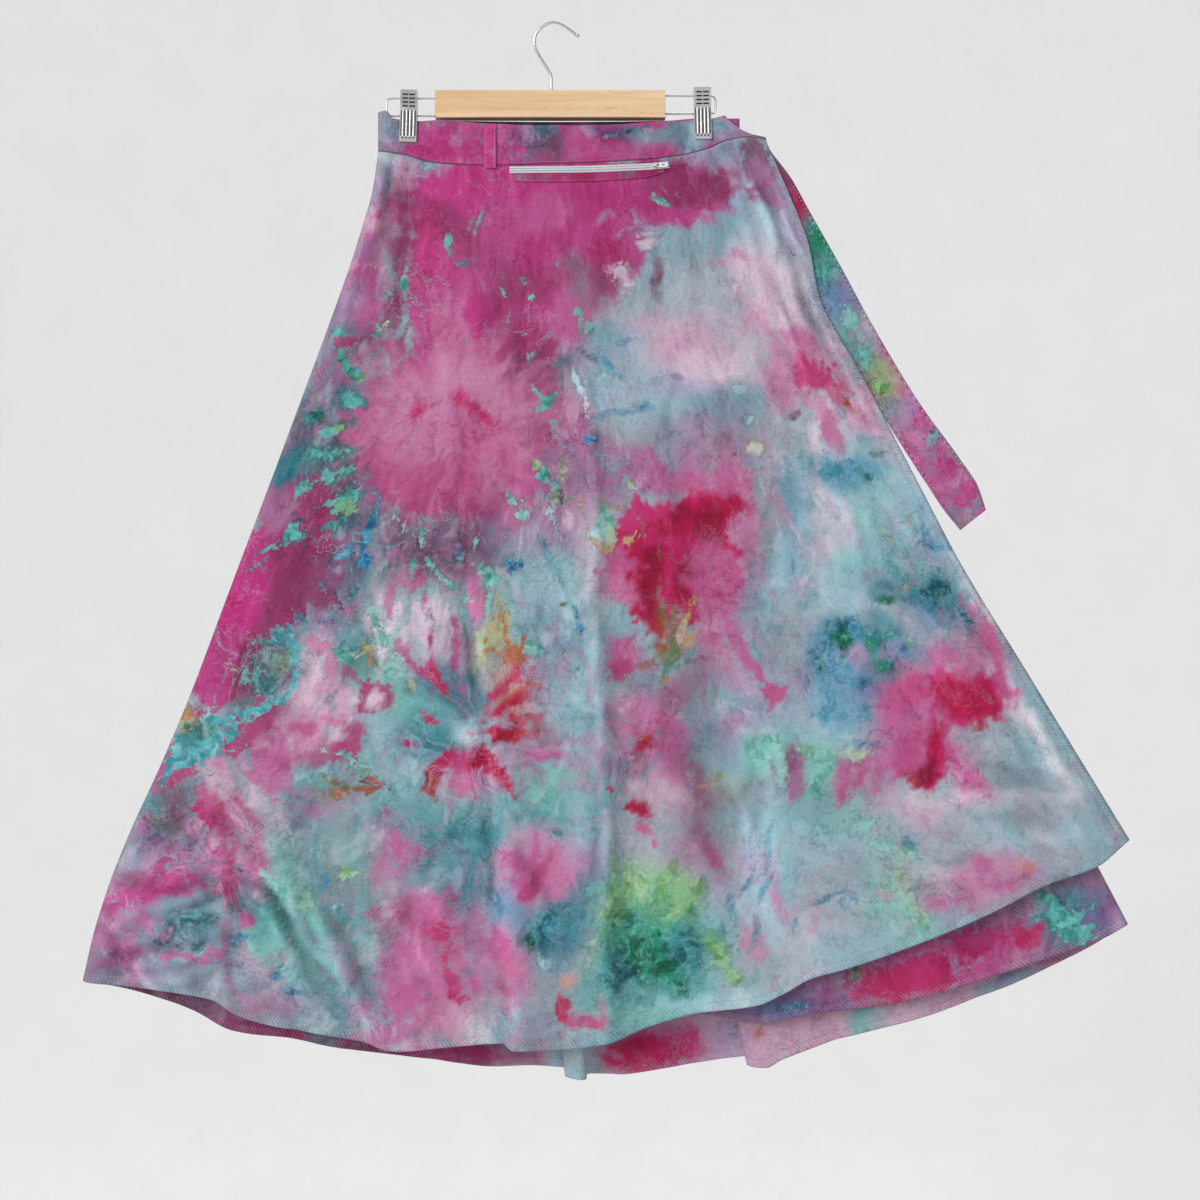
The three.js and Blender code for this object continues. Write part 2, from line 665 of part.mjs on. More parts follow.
// The pull lies along the zip; its end bar passes under the slider's arch, on the hinge line.
function pullTab() {
  const endBar = pull.thick / 2;
  const outline = new THREE.Shape();
  outline.moveTo(-endBar, -pull.neck);
  outline.lineTo(pull.long - pull.taper, -pull.half);
  outline.absarc(pull.long - pull.round, 0, pull.half, -pull.arc, pull.arc, false);
  outline.lineTo(pull.long - pull.taper, pull.half);
  outline.lineTo(-endBar, pull.neck);
  outline.closePath();
  const ring = new THREE.Path();
  ring.moveTo(endBar, -pullHoles.ringHalf);
  ring.lineTo(endBar, pullHoles.ringHalf);
  ring.lineTo(endBar + pullHoles.ringLong, pullHoles.ringHalf);
  ring.lineTo(endBar + pullHoles.ringLong, -pullHoles.ringHalf);
  ring.closePath();
  const middle = (pullHoles.diamondFrom + pullHoles.diamondTo) / 2;
  const diamond = new THREE.Path();
  diamond.moveTo(pullHoles.diamondFrom, 0);
  diamond.lineTo(middle, pullHoles.diamondHalf);
  diamond.lineTo(pullHoles.diamondTo, 0);
  diamond.lineTo(middle, -pullHoles.diamondHalf);
  diamond.closePath();
  outline.holes.push(ring, diamond);
  const plate = new THREE.ExtrudeGeometry(outline, {
    depth: pull.thick,
    bevelEnabled: false,
    curveSegments: 8,
  });
  return plate.translate(0, 0, pull.lift - endBar);
}
add("zip_pull", pullTab(), "enamel", sliderFrame);

// ---- hanger ----
function woodBar() {
  const outline = new THREE.Shape();
  outline.moveTo(-bar.long / 2 + bar.edge, -bar.tall / 2 + bar.edge);
  outline.lineTo(bar.long / 2 - bar.edge, -bar.tall / 2 + bar.edge);
  outline.lineTo(bar.long / 2 - bar.edge, bar.tall / 2 - bar.edge);
  outline.lineTo(-bar.long / 2 + bar.edge, bar.tall / 2 - bar.edge);
  outline.closePath();
  const block = new THREE.ExtrudeGeometry(outline, {
    depth: bar.deep - 2 * bar.edge,
    bevelThickness: bar.edge,
    bevelSize: bar.edge,
    bevelSegments: 2,
  });
  block.rotateX(Math.PI / 2);
  block.translate(bar.centreAcross, bar.deep / 2 - bar.edge, bar.top - bar.tall / 2);
  let shaped = solid(block);
  for (const loop of loops) {
    const face = bar.centreAcross + (loop.toward * bar.long) / 2;
    const inner = face - loop.toward * (wireHole.deep + wireHole.spare);
    const ends = [inner, face + loop.toward].sort((a, b) => a - b);
    for (const height of [loop.upper, loop.lower]) {
      shaped = shaped.subtract(solid(rodX(loopWire.thick / 2 + gap, ends[0], ends[1], 0, height)));
    }
  }
  const radius = hookWire / 2 + gap;
  const socket = new THREE.CylinderGeometry(radius, radius, hookHole.deep + hookHole.above, 16);
  const middle = bar.top + (hookHole.above - hookHole.deep) / 2;
  socket.rotateX(Math.PI / 2).translate(hookRows[0].across, 0, middle);
  return geometryOf(shaped.subtract(solid(socket)));
}
add("hanger_bar", woodBar(), "wood");

function hook() {
  const line = new THREE.CatmullRomCurve3(
    hookRows.map((row) => new THREE.Vector3(row.across, 0, row.height)),
  );
  const tip = hookRows[hookRows.length - 1];
  const knob = new THREE.SphereGeometry(hookKnob, 12, 8).translate(tip.across, 0, tip.height);
  return geometryOf(solid(wire(line, hookWire, 30, 12)).add(solid(knob)));
}
add("hanger_hook", hook(), "steel");

for (const loop of loops) {
  const inBar = bar.centreAcross + loop.toward * (bar.long / 2 - wireHole.deep);
  const turn = loop.end - loop.toward * loopWire.bend;
  const at = (x, z) => new THREE.Vector3(x, 0, z);
  const route = new THREE.CurvePath();
  route.add(new THREE.LineCurve3(at(inBar, loop.upper), at(turn, loop.upper)));
  route.add(
    new THREE.QuadraticBezierCurve3(
      at(turn, loop.upper),
      at(loop.end, loop.upper),
      at(loop.end, loop.upper - loopWire.bend),
    ),
  );
  route.add(
    new THREE.LineCurve3(
      at(loop.end, loop.upper - loopWire.bend),
      at(loop.end, loop.lower + loopWire.bend),
    ),
  );
  route.add(
    new THREE.QuadraticBezierCurve3(
      at(loop.end, loop.lower + loopWire.bend),
      at(loop.end, loop.lower),
      at(turn, loop.lower),
    ),
  );
  route.add(new THREE.LineCurve3(at(turn, loop.lower), at(inBar, loop.lower)));
  add(`wire_${loop.side}`, wire(route, loopWire.thick, 32, 8), "steel");
}

// A clip's jaw, facing out along +Y, with its top at the origin. The front jaw has ears over the spring.
function jaw(pad, hasEars) {
  const profile = new THREE.Shape();
  profile.moveTo(jawRows[0].outer, jawRows[0].height);
  profile.lineTo(jawRows[1].outer, jawRows[1].height);
  profile.lineTo(pad + jawLip.shoulder, -clip.tall + jawLip.rounded);
  profile.lineTo(pad + jawLip.thick, -clip.tall);
  profile.lineTo(pad, -clip.tall);
  profile.lineTo(pad, -clip.tall + jawLip.pinch);
  profile.lineTo(pad + jawLip.set, -clip.tall + jawLip.relief);
  profile.lineTo(jawRows[1].inner, jawRows[1].height);
  profile.lineTo(jawRows[0].inner, jawRows[0].height);
  profile.closePath();
  // From the profile's plane, out along x and up along y, to out along Y and across along X.
  const sideways = (shape, from, deep) => {
    const made = new THREE.ExtrudeGeometry(shape, { depth: deep, bevelEnabled: false });
    made.translate(0, 0, from);
    return made.applyMatrix4(new THREE.Matrix4().set(0, 0, 1, 0, 1, 0, 0, 0, 0, 1, 0, 0, 0, 0, 0, 1));
  };
  const outline = (rows) => new THREE.Shape(rows.map((row) => new THREE.Vector2(row.out, row.height)));
  const half = clip.wide / 2;
  let made = solid(sideways(profile, -half, clip.wide));
  for (const from of [-half, half - clip.flange]) {
    made = made.add(solid(sideways(outline(flangeRows), from, clip.flange)));
    if (hasEars) made = made.add(solid(sideways(outline(earRows), from, clip.flange)));
  }
  for (const height of slotHeights) {
    for (const side of [-1, 1]) {
      const middle = side * slots.pitchAcross;
      const cutter = box(
        [middle - slots.wide / 2, middle + slots.wide / 2],
        slots.through,
        [height - slots.tall / 2, height + slots.tall / 2],
      );
      made = made.subtract(solid(cutter));
    }
  }
  const faceAt = (height) => {
    const u = (height - jawRows[1].height) / (-clip.tall + jawLip.rounded - jawRows[1].height);
    return lerp(jawRows[1].outer, pad + jawLip.shoulder, u) - flutes.sunk;
  };
  for (const x of flutes.across) {
    const ridge = new THREE.LineCurve3(
      new THREE.Vector3(x, faceAt(flutes.top), flutes.top),
      new THREE.Vector3(x, faceAt(flutes.bottom), flutes.bottom),
    );
    made = made.add(solid(wire(ridge, flutes.thick, 1, 10)));
  }
  return geometryOf(made);
}

for (const { side, across, top, tiltDeg, halfGap } of clips) {
  const hangerClip = new THREE.Group();
  hangerClip.position.set(across, 0, top);
  hangerClip.rotation.y = THREE.MathUtils.degToRad(-tiltDeg);
  skirt.add(hangerClip);
  add(`clip_${side}_front`, jaw(halfGap, true).rotateZ(Math.PI), "steel", hangerClip);
  add(`clip_${side}_back`, jaw(halfGap, false), "steel", hangerClip);
  const springEnd = clip.wide / 2 - clip.flange - gap;
  const spring = rodX(clip.springRadius, -springEnd, springEnd, 0, -clip.pivot);
  add(`clip_${side}_spring`, spring, "steel", hangerClip);
}

export default skirt;
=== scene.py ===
import bpy
import bmesh
import math
import numpy as np
from mathutils import Matrix, Vector


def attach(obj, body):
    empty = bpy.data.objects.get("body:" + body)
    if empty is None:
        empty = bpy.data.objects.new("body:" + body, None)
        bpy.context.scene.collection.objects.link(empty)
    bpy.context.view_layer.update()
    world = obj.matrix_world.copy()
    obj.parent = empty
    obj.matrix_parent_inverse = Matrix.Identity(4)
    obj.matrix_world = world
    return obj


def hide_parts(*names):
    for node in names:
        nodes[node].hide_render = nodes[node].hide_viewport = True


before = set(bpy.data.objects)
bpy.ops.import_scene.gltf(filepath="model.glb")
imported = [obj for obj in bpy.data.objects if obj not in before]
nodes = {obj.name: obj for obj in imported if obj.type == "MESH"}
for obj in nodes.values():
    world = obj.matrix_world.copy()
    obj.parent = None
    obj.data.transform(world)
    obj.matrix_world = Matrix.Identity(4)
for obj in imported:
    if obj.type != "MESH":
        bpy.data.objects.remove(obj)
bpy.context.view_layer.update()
scene = bpy.context.scene
scene.view_settings.view_transform = "Standard"
mm = 0.001
print("skirt: frame loaded,", len(nodes), "nodes")


def inScene(name, data):
    made = bpy.data.objects.new(name, data)
    scene.collection.objects.link(made)
    return made


def asPiece(name, work):
    data = bpy.data.meshes.new(name)
    work.to_mesh(data)
    work.free()
    return inScene(name, data)


def softEdges(piece, width, degrees):
    edge = piece.modifiers.new("soft edges", "BEVEL")
    edge.width = width
    edge.segments = 2
    edge.limit_method = "ANGLE"
    edge.angle_limit = math.radians(degrees)


# The camera stands level with the middle of the skirt.
cameraSettings = {"across": 0.052, "away": 2.2, "height": -0.628, "lens": 60.55, "sensor": 36}


def makeCamera(settings):
    data = bpy.data.cameras.new("camera")
    data.lens = settings["lens"]
    data.sensor_width = settings["sensor"]
    scene.camera = inScene("camera", data)
    scene.camera.location = (settings["across"], -settings["away"], settings["height"])
    scene.camera.rotation_euler = (math.radians(90), 0, 0)


makeCamera(cameraSettings)


# Tables and noise.
def table(columns, rows):
    return {name: np.array([row[i] for row in rows]) for i, name in enumerate(columns.split())}


# Rows written as text, one to a line: numbers and names of dyes. A line that starts with # is a note.
def rowsOf(text):
    rows = []
    for line in text.strip().splitlines():
        if not line.startswith("#"):
            rows.append([part if part[0].isalpha() else float(part) for part in line.split()])
    return rows


def smooth(low, high, at):
    u = np.clip((at - low) / (high - low), 0, 1)
    return u * u * (3 - 2 * u)


def blend(a, b, share):
    return a + (b - a) * share


# Reads one column of a table at a position on another, with no overshoot between its rows.
def readTable(rows, key, column, at):
    xs, ys = rows[key].astype(float), rows[column].astype(float)
    at = np.clip(at, xs[0], xs[-1])
    span = np.diff(xs)
    slope = np.diff(ys) / span
    before, after = slope[:-1], slope[1:]
    same = before * after > 0
    mean = np.where(same, 2 * before * after / np.where(same, before + after, 1), 0)
    bend = np.concatenate([slope[:1], mean, slope[-1:]])
    i = np.clip(np.searchsorted(xs, at, side="right") - 1, 0, len(xs) - 2)
    u = (at - xs[i]) / span[i]
    v = 1 - u
    held = ys[i] * v * v * (1 + 2 * u) + ys[i + 1] * u * u * (1 + 2 * v)
    return held + span[i] * u * v * (v * bend[i] - u * bend[i + 1])


# Soft noise from -1 to 1; scale is the size of one cell, in the unit of x and y.
def softNoise(x, y, scale, seed):
    size = 64
    lattice = np.random.default_rng(seed).uniform(-1, 1, (size, size))
    u, v = x / scale, y / scale
    i, j = np.floor(u).astype(int), np.floor(v).astype(int)
    u, v = u - i, v - j
    u, v = u * u * (3 - 2 * u), v * v * (3 - 2 * v)
    upper = blend(lattice[i % size, j % size], lattice[(i + 1) % size, j % size], u)
    lower = blend(lattice[i % size, (j + 1) % size], lattice[(i + 1) % size, (j + 1) % size], u)
    return blend(upper, lower, v)


# Sizes of the skirt, in millimetres.
cloth = {"panel": 1.2, "band": 2.0, "half": 0.45, "gap": 0.3}
waist = {"left": -189, "tip": 232, "topRight": 188, "fans": 166, "sag": 4.9, "fold": 204, "underEnd": -57}
waistRows = table("across front under back", [
    (-189, -3.5, 0, 2.9), (-178, -3.5, 0, 2.9), (-169, -1.3, 0, 1.3), (-143, -1.3, 0, 1.3),
    (-120, -5, -2.1, 4), (-60, -12.5, -9.6, 8.5), (0, -16, -13.1, 10.5), (60, -14, -11.1, 9.5),
    (120, -8, -5.1, 5.5), (150, -2.5, 0, 2.5), (176, -2.5, 0, 2.5), (186, -6.2, -1.3, 1.5),
    (232, -6.2, -1.3, 1.5),
])
bandTopRows = table("across height", [
    (-189, -97), (-180, -95.5), (-174, -103.5), (-145, -106.5), (-126, -106), (-75, -111), (12, -115.5),
    (50, -114.5), (123, -108), (154, -106), (173, -104), (188, -101.5),
])
seamRows = table("across height", [
    (-187, -140), (-162, -143), (-137, -150.5), (-117, -154), (-61, -157), (9, -156), (105, -150),
    (141, -144), (168, -137), (192, -128), (214, -125), (232, -128),
])
backTopRows = table("across height", [
    (-189, -97), (-180, -95.5), (-174, -103.5), (-145, -106), (-129, -104.6), (3, -104.5), (123, -104.5),
    (155, -103.5), (204, -103.5),
])
backSeamRows = table("across height", [(-189, -140), (-150, -144.5), (0, -147), (204, -143.5)])
underTopRows = table("across height", [(-57, -114), (50, -113), (123, -107), (155, -103.5), (204, -103.5)])
underSeamRows = table("across height", [(-57, -154), (60, -152), (204, -143.5)])
frontHemRows = table("across height depth", [
    (-511, -1042, -0.45), (-508, -1043, -7), (-498, -1044, -12), (-454, -1047, -18), (-423, -1051, -21),
    (-370, -1060, -20), (-336, -1080, -24), (-267, -1095, -24), (-207, -1104, -27), (-175, -1114, -31),
    (-108, -1109, -28), (-54, -1106, -25), (-42, -1113, -29), (7, -1111, -31), (56, -1105, -32),
    (100, -1088, -28), (156, -1071, -32), (222, -1063, -35), (250, -1051, -31), (276, -1036, -27),
    (321, -1023, -29), (397, -997, -25), (458, -971, -25), (536, -934, -21), (589, -916, -17),
    (626, -888, -12),
])
backHemRows = table("across height depth", [
    (-511, -1042, 0.45), (-508, -1045, 7), (-498, -1048, 12), (-464, -1056, 17), (-398, -1080, 26),
    (-349, -1102, 19), (-290, -1112, 29), (-236, -1121, 20), (-140, -1134, 30), (-61, -1141, 21),
    (-20, -1141, 26), (19, -1144, 26), (24, -1146, 22), (13, -1149, 15), (17, -1151, 10),
    (34, -1154, 10), (38, -1153, 15), (32, -1152, 22), (42, -1151, 28), (74, -1152, 29),
    (116, -1145, 22), (179, -1136, 29), (222, -1131, 27), (226, -1132, 22), (213, -1137, 13),
    (218, -1139, 9.5), (233, -1140, 9), (250, -1132, 12), (305, -1114, 20), (350, -1100, 12),
    (404, -1086, 10), (472, -1063, 19), (545, -1030, 11), (598, -1001, 9), (622, -985, 5),
    (627, -981, 0.6),
])
underHemRows = table("across height depth", [
    (52, -1066, -8), (110, -1071, -14), (165, -1077, -13), (219, -1088, -6), (282, -1077, -12),
    (365, -1068, -5), (420, -1055, -11), (503, -1030, -4), (559, -1010, -7), (600, -995, -6),
    (622, -984, -4), (627, -981, -0.6),
])
leftEdgeRows = table("drop bow", [
    (0, 0), (0.06, 10), (0.16, 13.5), (0.35, 11.5), (0.54, 8), (0.64, 6.5), (0.735, 1.6), (0.83, -6.7),
    (0.88, -8.6), (0.93, -7.3), (1, 0),
])
wrapEdgeRows = table("drop bow", [
    (0, 0), (0.13, -9), (0.25, -32), (0.35, -28), (0.57, -28), (0.77, -16), (0.885, -8), (1, 0),
])
foldEdgeRows = table("drop bow", [(0, 0), (0.25, -6), (0.6, -6), (1, 0)])
frontFolds = [  # share at the waist, at the hem, half width, swell, step, where it begins
    (0.25, 0.405, 0.009, -1.5, -2.6, 0.12),
    (0.47, 0.5, 0.01, -2.6, -0.8, 0.12),
    (0.54, 0.645, 0.03, 6, 0, 0.3),
    (0.63, 0.672, 0.018, -4, 0, 0.45),
    (0.02, 0.285, 0.016, 6, -1, 0.74),
    (0, 0.21, 0.012, 5, 0, 0.78),
    (0, 0.155, 0.01, 5, 0, 0.78),
    (0.33, 0.335, 0.05, -4, 0, 0.35),
    (0.86, 0.86, 0.04, -5, 0, 0.4),
]
foldFree = 0.04


# The chart is the front view in which the creases and the dye are laid, with its steps in millimetres.
chart = {"step": 1.09, "across": 52, "height": -628, "middle": 600, "eye": 2200}


def onChart(points):
    near = chart["eye"] / (chart["eye"] + points[:, 1])
    x = chart["middle"] + (points[:, 0] - chart["across"]) / chart["step"] * near
    y = chart["middle"] - (points[:, 2] - chart["height"]) / chart["step"] * near
    return x, y


# Creases of the front, from one end to the other: half width and height in millimetres, ridges above 0.
frontCreases = rowsOf("""
462 380 464 560 5 -1.4
470 400 472 560 9 1.2
463 560 480 720 5 -2.4
474 570 492 730 11 2
483 710 497 930 6 -2
496 720 512 935 13 3
497 900 506 1050 6 -2
511 900 522 1050 13 2.6
588 400 595 600 8 1.8
600 400 606 600 12 -1.4
593 580 606 800 8 2.6
606 600 622 800 14 -2.2
606 780 606 1050 8 2.4
620 790 622 1040 14 -2
690 640 735 910 22 -3.2
775 740 782 950 16 3
742 700 760 900 14 1.5
570 340 590 420 6 1.4
903 455 945 535 6 1.6
940 530 1002 655 6 1.8
998 645 1045 735 7 1.8
1040 725 1095 815 7 1.6
215 835 300 925 5 2.2
240 860 330 985 6 -2.4
225 860 225 960 5 1.6
120 850 210 880 5 2
130 880 205 905 5 -1.8
110 930 190 900 5 1.8
105 950 170 955 5 -1.5
150 990 235 1000 5 1.4
118 868 212 862 7 3
112 890 210 885 7 -2.6
128 915 205 892 7 3
106 935 150 905 7 2.4
100 962 175 938 7 -2.4
140 960 225 950 7 2.6
130 978 215 975 7 2.2
190 985 240 955 7 -2.2
205 810 232 880 7 3
218 800 262 870 7 -3
232 870 300 960 7 3.4
246 862 345 1000 8 -3.6
228 885 258 975 7 2.8
262 868 330 930 7 2.4
300 960 345 1030 7 -2.4
255 960 290 1010 7 2.4
205 800 190 850 7 2.2
330 940 392 1046 8 3.2
950 800 1050 792 6 1.6
960 815 1075 822 6 -1.6
950 770 1040 800 6 1.4
985 845 1085 836 6 1.6
900 845 960 880 7 1.4
400 930 470 1030 7 1.6
520 840 545 905 6 -1.8
420 600 440 700 7 1.8
470 600 476 700 6 -1.8
505 650 530 700 6 1.6
745 170 800 330 6 2
756 170 825 345 6 -2.2
768 200 850 380 6 2
735 180 775 300 6 -1.6
790 280 868 420 6 -1.8
380 170 366 260 6 1.6
395 170 378 290 6 -1.6
360 260 330 360 6 1.4
311 900 384 1048 7 2.6
325 895 398 1046 8 -2.6
240 940 302 1012 6 1.8
232 925 290 1012 6 -1.5
208 930 235 1008 6 1.5
200 835 262 950 5 1.4
212 825 330 1000 6 -1.6
250 842 282 915 4 1.1
130 905 200 868 4 1.1
120 930 215 890 5 -1.2
140 865 215 893 4 1.2
150 862 200 905 4 -.9
108 968 160 925 4 1
112 975 150 968 4 -.8
160 975 235 985 4 .9
190 815 250 925 5 -1.3
170 830 145 900 5 1
100 940 118 975 4 .9
215 860 245 950 4 1
232 830 300 920 5 1
300 920 375 1035 4 1.2
150 835 120 860 5 -1
270 900 345 1020 4 -1
165 915 225 965 4 .8
955 850 1010 830 3 1
1008 830 1042 833 3 1
1040 833 1072 850 3 .9
952 856 1000 838 3 -.8
1035 838 1066 855 3 -.8
905 706 926 721 3 -1.6
1040 815 1100 835 3 .8
1020 800 1075 845 3 -.7
1050 790 1095 850 4 .8
740 168 800 300 5 1
748 170 870 400 6 -1.2
765 190 860 360 5 1
752 210 820 360 5 .9
770 250 850 420 6 -.9
786 250 870 420 4 .8
735 150 752 200 4 -1.3
742 148 770 195 4 1.1
728 150 738 215 5 .9
700 190 720 300 6 .8
715 200 745 330 6 -.8
690 380 700 560 8 .9
780 380 800 520 7 -.9
830 420 860 600 8 .8
860 540 900 700 8 -1
920 620 1010 780 7 .9
960 640 1060 800 6 -1.1
1000 690 1080 820 5 .9
640 690 650 830 10 -1.4
735 760 752 900 7 .9
560 200 566 235 5 .9
400 170 385 260 6 .9
412 170 395 330 7 -.9
392 158 372 230 4 1
430 175 420 300 7 .7
470 560 478 700 4 .9
540 860 530 900 4 -1
500 925 512 1000 4 .9
650 700 660 790 12 1
600 240 610 350 8 -.7
386 158 420 190 4 1
384 162 405 200 3 -1
150 740 205 755 6 .6
250 560 230 660 8 .8
300 640 270 740 7 -.8
330 700 290 800 7 .7
955 700 1035 830 5 -.8
890 800 1000 900 5 .7
920 820 1030 890 4 -.6
820 880 900 940 5 .6
770 900 800 960 5 .7
690 900 700 985 7 -1
""")
# Fine crumples: centre, reach, direction in degrees and its spread, count, length, half width, height.
frontCrumples = [
    (165, 915, 70, 60, 10, 40, 40, 60, 4.5, 1.5), (240, 890, 60, 70, 55, 20, 30, 70, 4.5, 1.4),
    (1030, 810, 80, 50, 15, 30, 30, 60, 4, 0.9), (810, 290, 50, 110, 66, 8, 24, 110, 4, 1.1),
    (640, 400, 160, 120, 80, 30, 26, 60, 6, 0.6), (450, 900, 110, 90, 75, 30, 30, 60, 5, 0.9),
    (880, 600, 90, 120, 65, 25, 26, 60, 5, 0.7), (300, 600, 70, 150, 110, 25, 30, 70, 5, 0.8),
    (700, 850, 110, 100, 80, 30, 26, 70, 5, 0.8), (340, 950, 90, 70, 55, 25, 26, 60, 4.5, 1.1),
    (420, 200, 60, 50, 100, 30, 14, 40, 5, 0.4), (960, 880, 90, 40, 20, 35, 18, 40, 4, 0.4),
]


creasing = {"frontSeed": 11, "backSeed": 31, "scatter": 0.6, "wander": 5, "wanderCell": 45}


def creaseHeight(x, y, creases, crumples, seed, scale=1.0):
    rng = np.random.default_rng(seed)
    rows = list(creases)
    for cx, cy, wide, tall, turn, spread, count, long, half, high in crumples:
        for _ in range(count):
            angle = math.radians(turn + rng.uniform(-spread, spread))
            reach = long * rng.uniform(0.5, 1.3) / 2
            mx = cx + wide * rng.normal() * creasing["scatter"]
            my = cy + tall * rng.normal() * creasing["scatter"]
            dx, dy = reach * math.cos(angle), reach * math.sin(angle)
            rise = high * rng.choice([-1, 1]) * rng.uniform(0.5, 1.4)
            rows.append((mx - dx, my - dy, mx + dx, my + dy, half * rng.uniform(0.8, 1.6), rise))
    total = np.zeros_like(x)
    wx = x + creasing["wander"] * softNoise(x, y, creasing["wanderCell"], seed + 1)
    wy = y + creasing["wander"] * softNoise(x, y, creasing["wanderCell"], seed + 2)
    for x1, y1, x2, y2, half, high in rows:
        long = math.hypot(x2 - x1, y2 - y1)
        ux, uy = (x2 - x1) / long, (y2 - y1) / long
        run = ((wx - x1) * ux + (wy - y1) * uy) / long
        off = ((wy - y1) * ux - (wx - x1) * uy) * chart["step"] / half
        ends = smooth(-0.1, 0.25, run) * smooth(-0.1, 0.25, 1 - run)
        total += high * ends * np.exp(-off * off)
    return total * scale


# Depth of the cloth's layers at the waist.
def turned(distance, reach):
    left = 1 - np.clip(distance / reach, 0, 1)
    return np.sqrt(np.maximum(0, 1 - left * left))


def layerDepth(layer, x, foldAt):
    full = readTable(waistRows, "across", layer, x)
    reach = np.maximum(np.abs(full), 0.01)
    return blend(np.sign(full) * cloth["half"], full, turned(np.abs(x - foldAt), reach))


def frontDepth(x):
    return layerDepth("front", x, waist["left"])


def backDepth(x):
    return np.where(x < 0, layerDepth("back", x, waist["left"]), layerDepth("back", x, waist["fold"]))


def underDepth(x):
    return layerDepth("under", x, waist["fold"])


# A panel hangs from a line along the waist to its hem; share runs along the hem and drop down the panel.
def panelPlace(hem, waistLine, leftBow, rightBow, folds, surface):
    xyz = np.stack([hem["across"], hem["depth"], hem["height"]], 1).astype(float)
    lengths = np.concatenate([[0], np.cumsum(np.linalg.norm(np.diff(xyz, axis=0), axis=1))])
    rows = {"share": lengths / lengths[-1], "x": xyz[:, 0], "y": xyz[:, 1], "z": xyz[:, 2]}

    def place(share, drop, out=0.0):
        low = np.stack([readTable(rows, "share", k, share) for k in "xyz"], 1)
        high = waistLine(share)
        points = blend(high, low, drop[:, None])
        points[:, 0] += (1 - share) * readTable(leftBow, "drop", "bow", drop)
        points[:, 0] += share * readTable(rightBow, "drop", "bow", drop)
        for atWaist, atHem, wide, swell, step, begins in folds:
            off = (share - blend(atWaist, atHem, drop)) / wide
            grown = smooth(begins, 1, drop) * smooth(0, foldFree, share) * smooth(0, foldFree, 1 - share)
            points[:, 1] += grown * (swell * np.exp(-off * off) + step * np.tanh(off))
        points[:, 1] -= surface(points, share, drop) + out
        return points

    return place, lengths[-1] * mm


def edgeQuiet(share, drop):  # creases fade out towards the folded sides
    return smooth(0, 0.02, share) * smooth(0, 0.02, 1 - share) * smooth(0, 0.015, drop)


# Ripples of each panel, a broad and a fine one: height in millimetres, how many across and down, seed.
ripples = {
    "front": ((0.9, 60, 14, 5), (0.5, 130, 30, 6)),
    "back": ((2.4, 26, 4, 21), (1.1, 70, 12, 22)),
    "under": ((1.6, 16, 4, 41), (0.7, 44, 12, 42)),
}


def ripple(panel, share, drop):
    broad, fine = (high * softNoise(share * across, drop * down, 1, seed)
                   for high, across, down, seed in ripples[panel])
    return broad + fine


def frontSurface(points, share, drop):
    x, y = onChart(points)
    folds = creaseHeight(x, y, frontCreases, frontCrumples, creasing["frontSeed"], 1.6)
    folds = folds + 0.6 * smooth(0.1, 0.5, drop) * ripple("front", share, drop)
    return folds * edgeQuiet(share, drop)


def backSurface(points, share, drop):
    x, y = onChart(points)
    folds = creaseHeight(x, y, backCreases, backCrumples, creasing["backSeed"], 1.4)
    return -(ripple("back", share, drop) * smooth(0.08, 0.6, drop) + folds) * edgeQuiet(share, drop)


def underSurface(points, share, drop):
    return ripple("under", share, drop) * smooth(0.1, 0.6, drop) * edgeQuiet(share, drop)


# Creases and crumples of the back, in the same columns as those of the front.
backCreases = rowsOf("""
432 175 340 520 8 1.8
448 180 372 560 10 -1.6
478 180 440 520 8 1.4
520 170 506 470 9 -1.5
560 170 572 430 7 1.3
604 175 634 520 9 -1.6
650 170 708 480 8 1.7
690 180 790 470 9 -1.6
712 190 830 500 7 1.5
338 500 232 850 11 2.4
362 520 280 900 13 -2.4
436 540 392 930 12 2.2
470 560 448 960 10 -1.8
508 520 486 1010 12 2.4
566 480 560 1030 9 -2.2
604 560 622 1030 13 2.5
640 540 700 960 11 -2.2
706 520 800 920 12 2.3
760 500 880 900 10 -2
820 500 960 860 11 2.2
860 560 1040 880 9 -1.8
900 600 1075 900 9 1.8
250 820 170 960 9 2
300 840 240 1000 10 -2.2
400 900 380 1030 9 2.2
520 880 530 1030 8 -2
680 880 720 1030 9 2
770 900 830 1010 9 -2
880 880 950 980 9 2
180 870 260 900 7 1.6
190 900 280 940 7 -1.6
960 800 1060 850 7 1.6
560 250 620 330 7 1.2
500 300 450 380 7 1.2
640 640 560 720 9 1.4
400 640 470 700 8 -1.3
""")
backCrumples = [
    (250, 850, 110, 110, 70, 40, 40, 70, 6, 0.9), (600, 700, 200, 200, 85, 35, 60, 80, 7, 0.9),
    (900, 760, 120, 120, 110, 35, 40, 70, 6, 0.9), (560, 400, 120, 120, 90, 30, 40, 60, 6, 0.6),
    (700, 980, 200, 60, 80, 30, 40, 50, 5, 0.7),
]


# The line along the waist from which a panel hangs.
def waistLine(start, end, depth, seam, below=0.0):
    def line(share):
        x = blend(start, end, share)
        return np.stack([x, depth(x), readTable(seam, "across", "height", x) - below], 1)
    return line


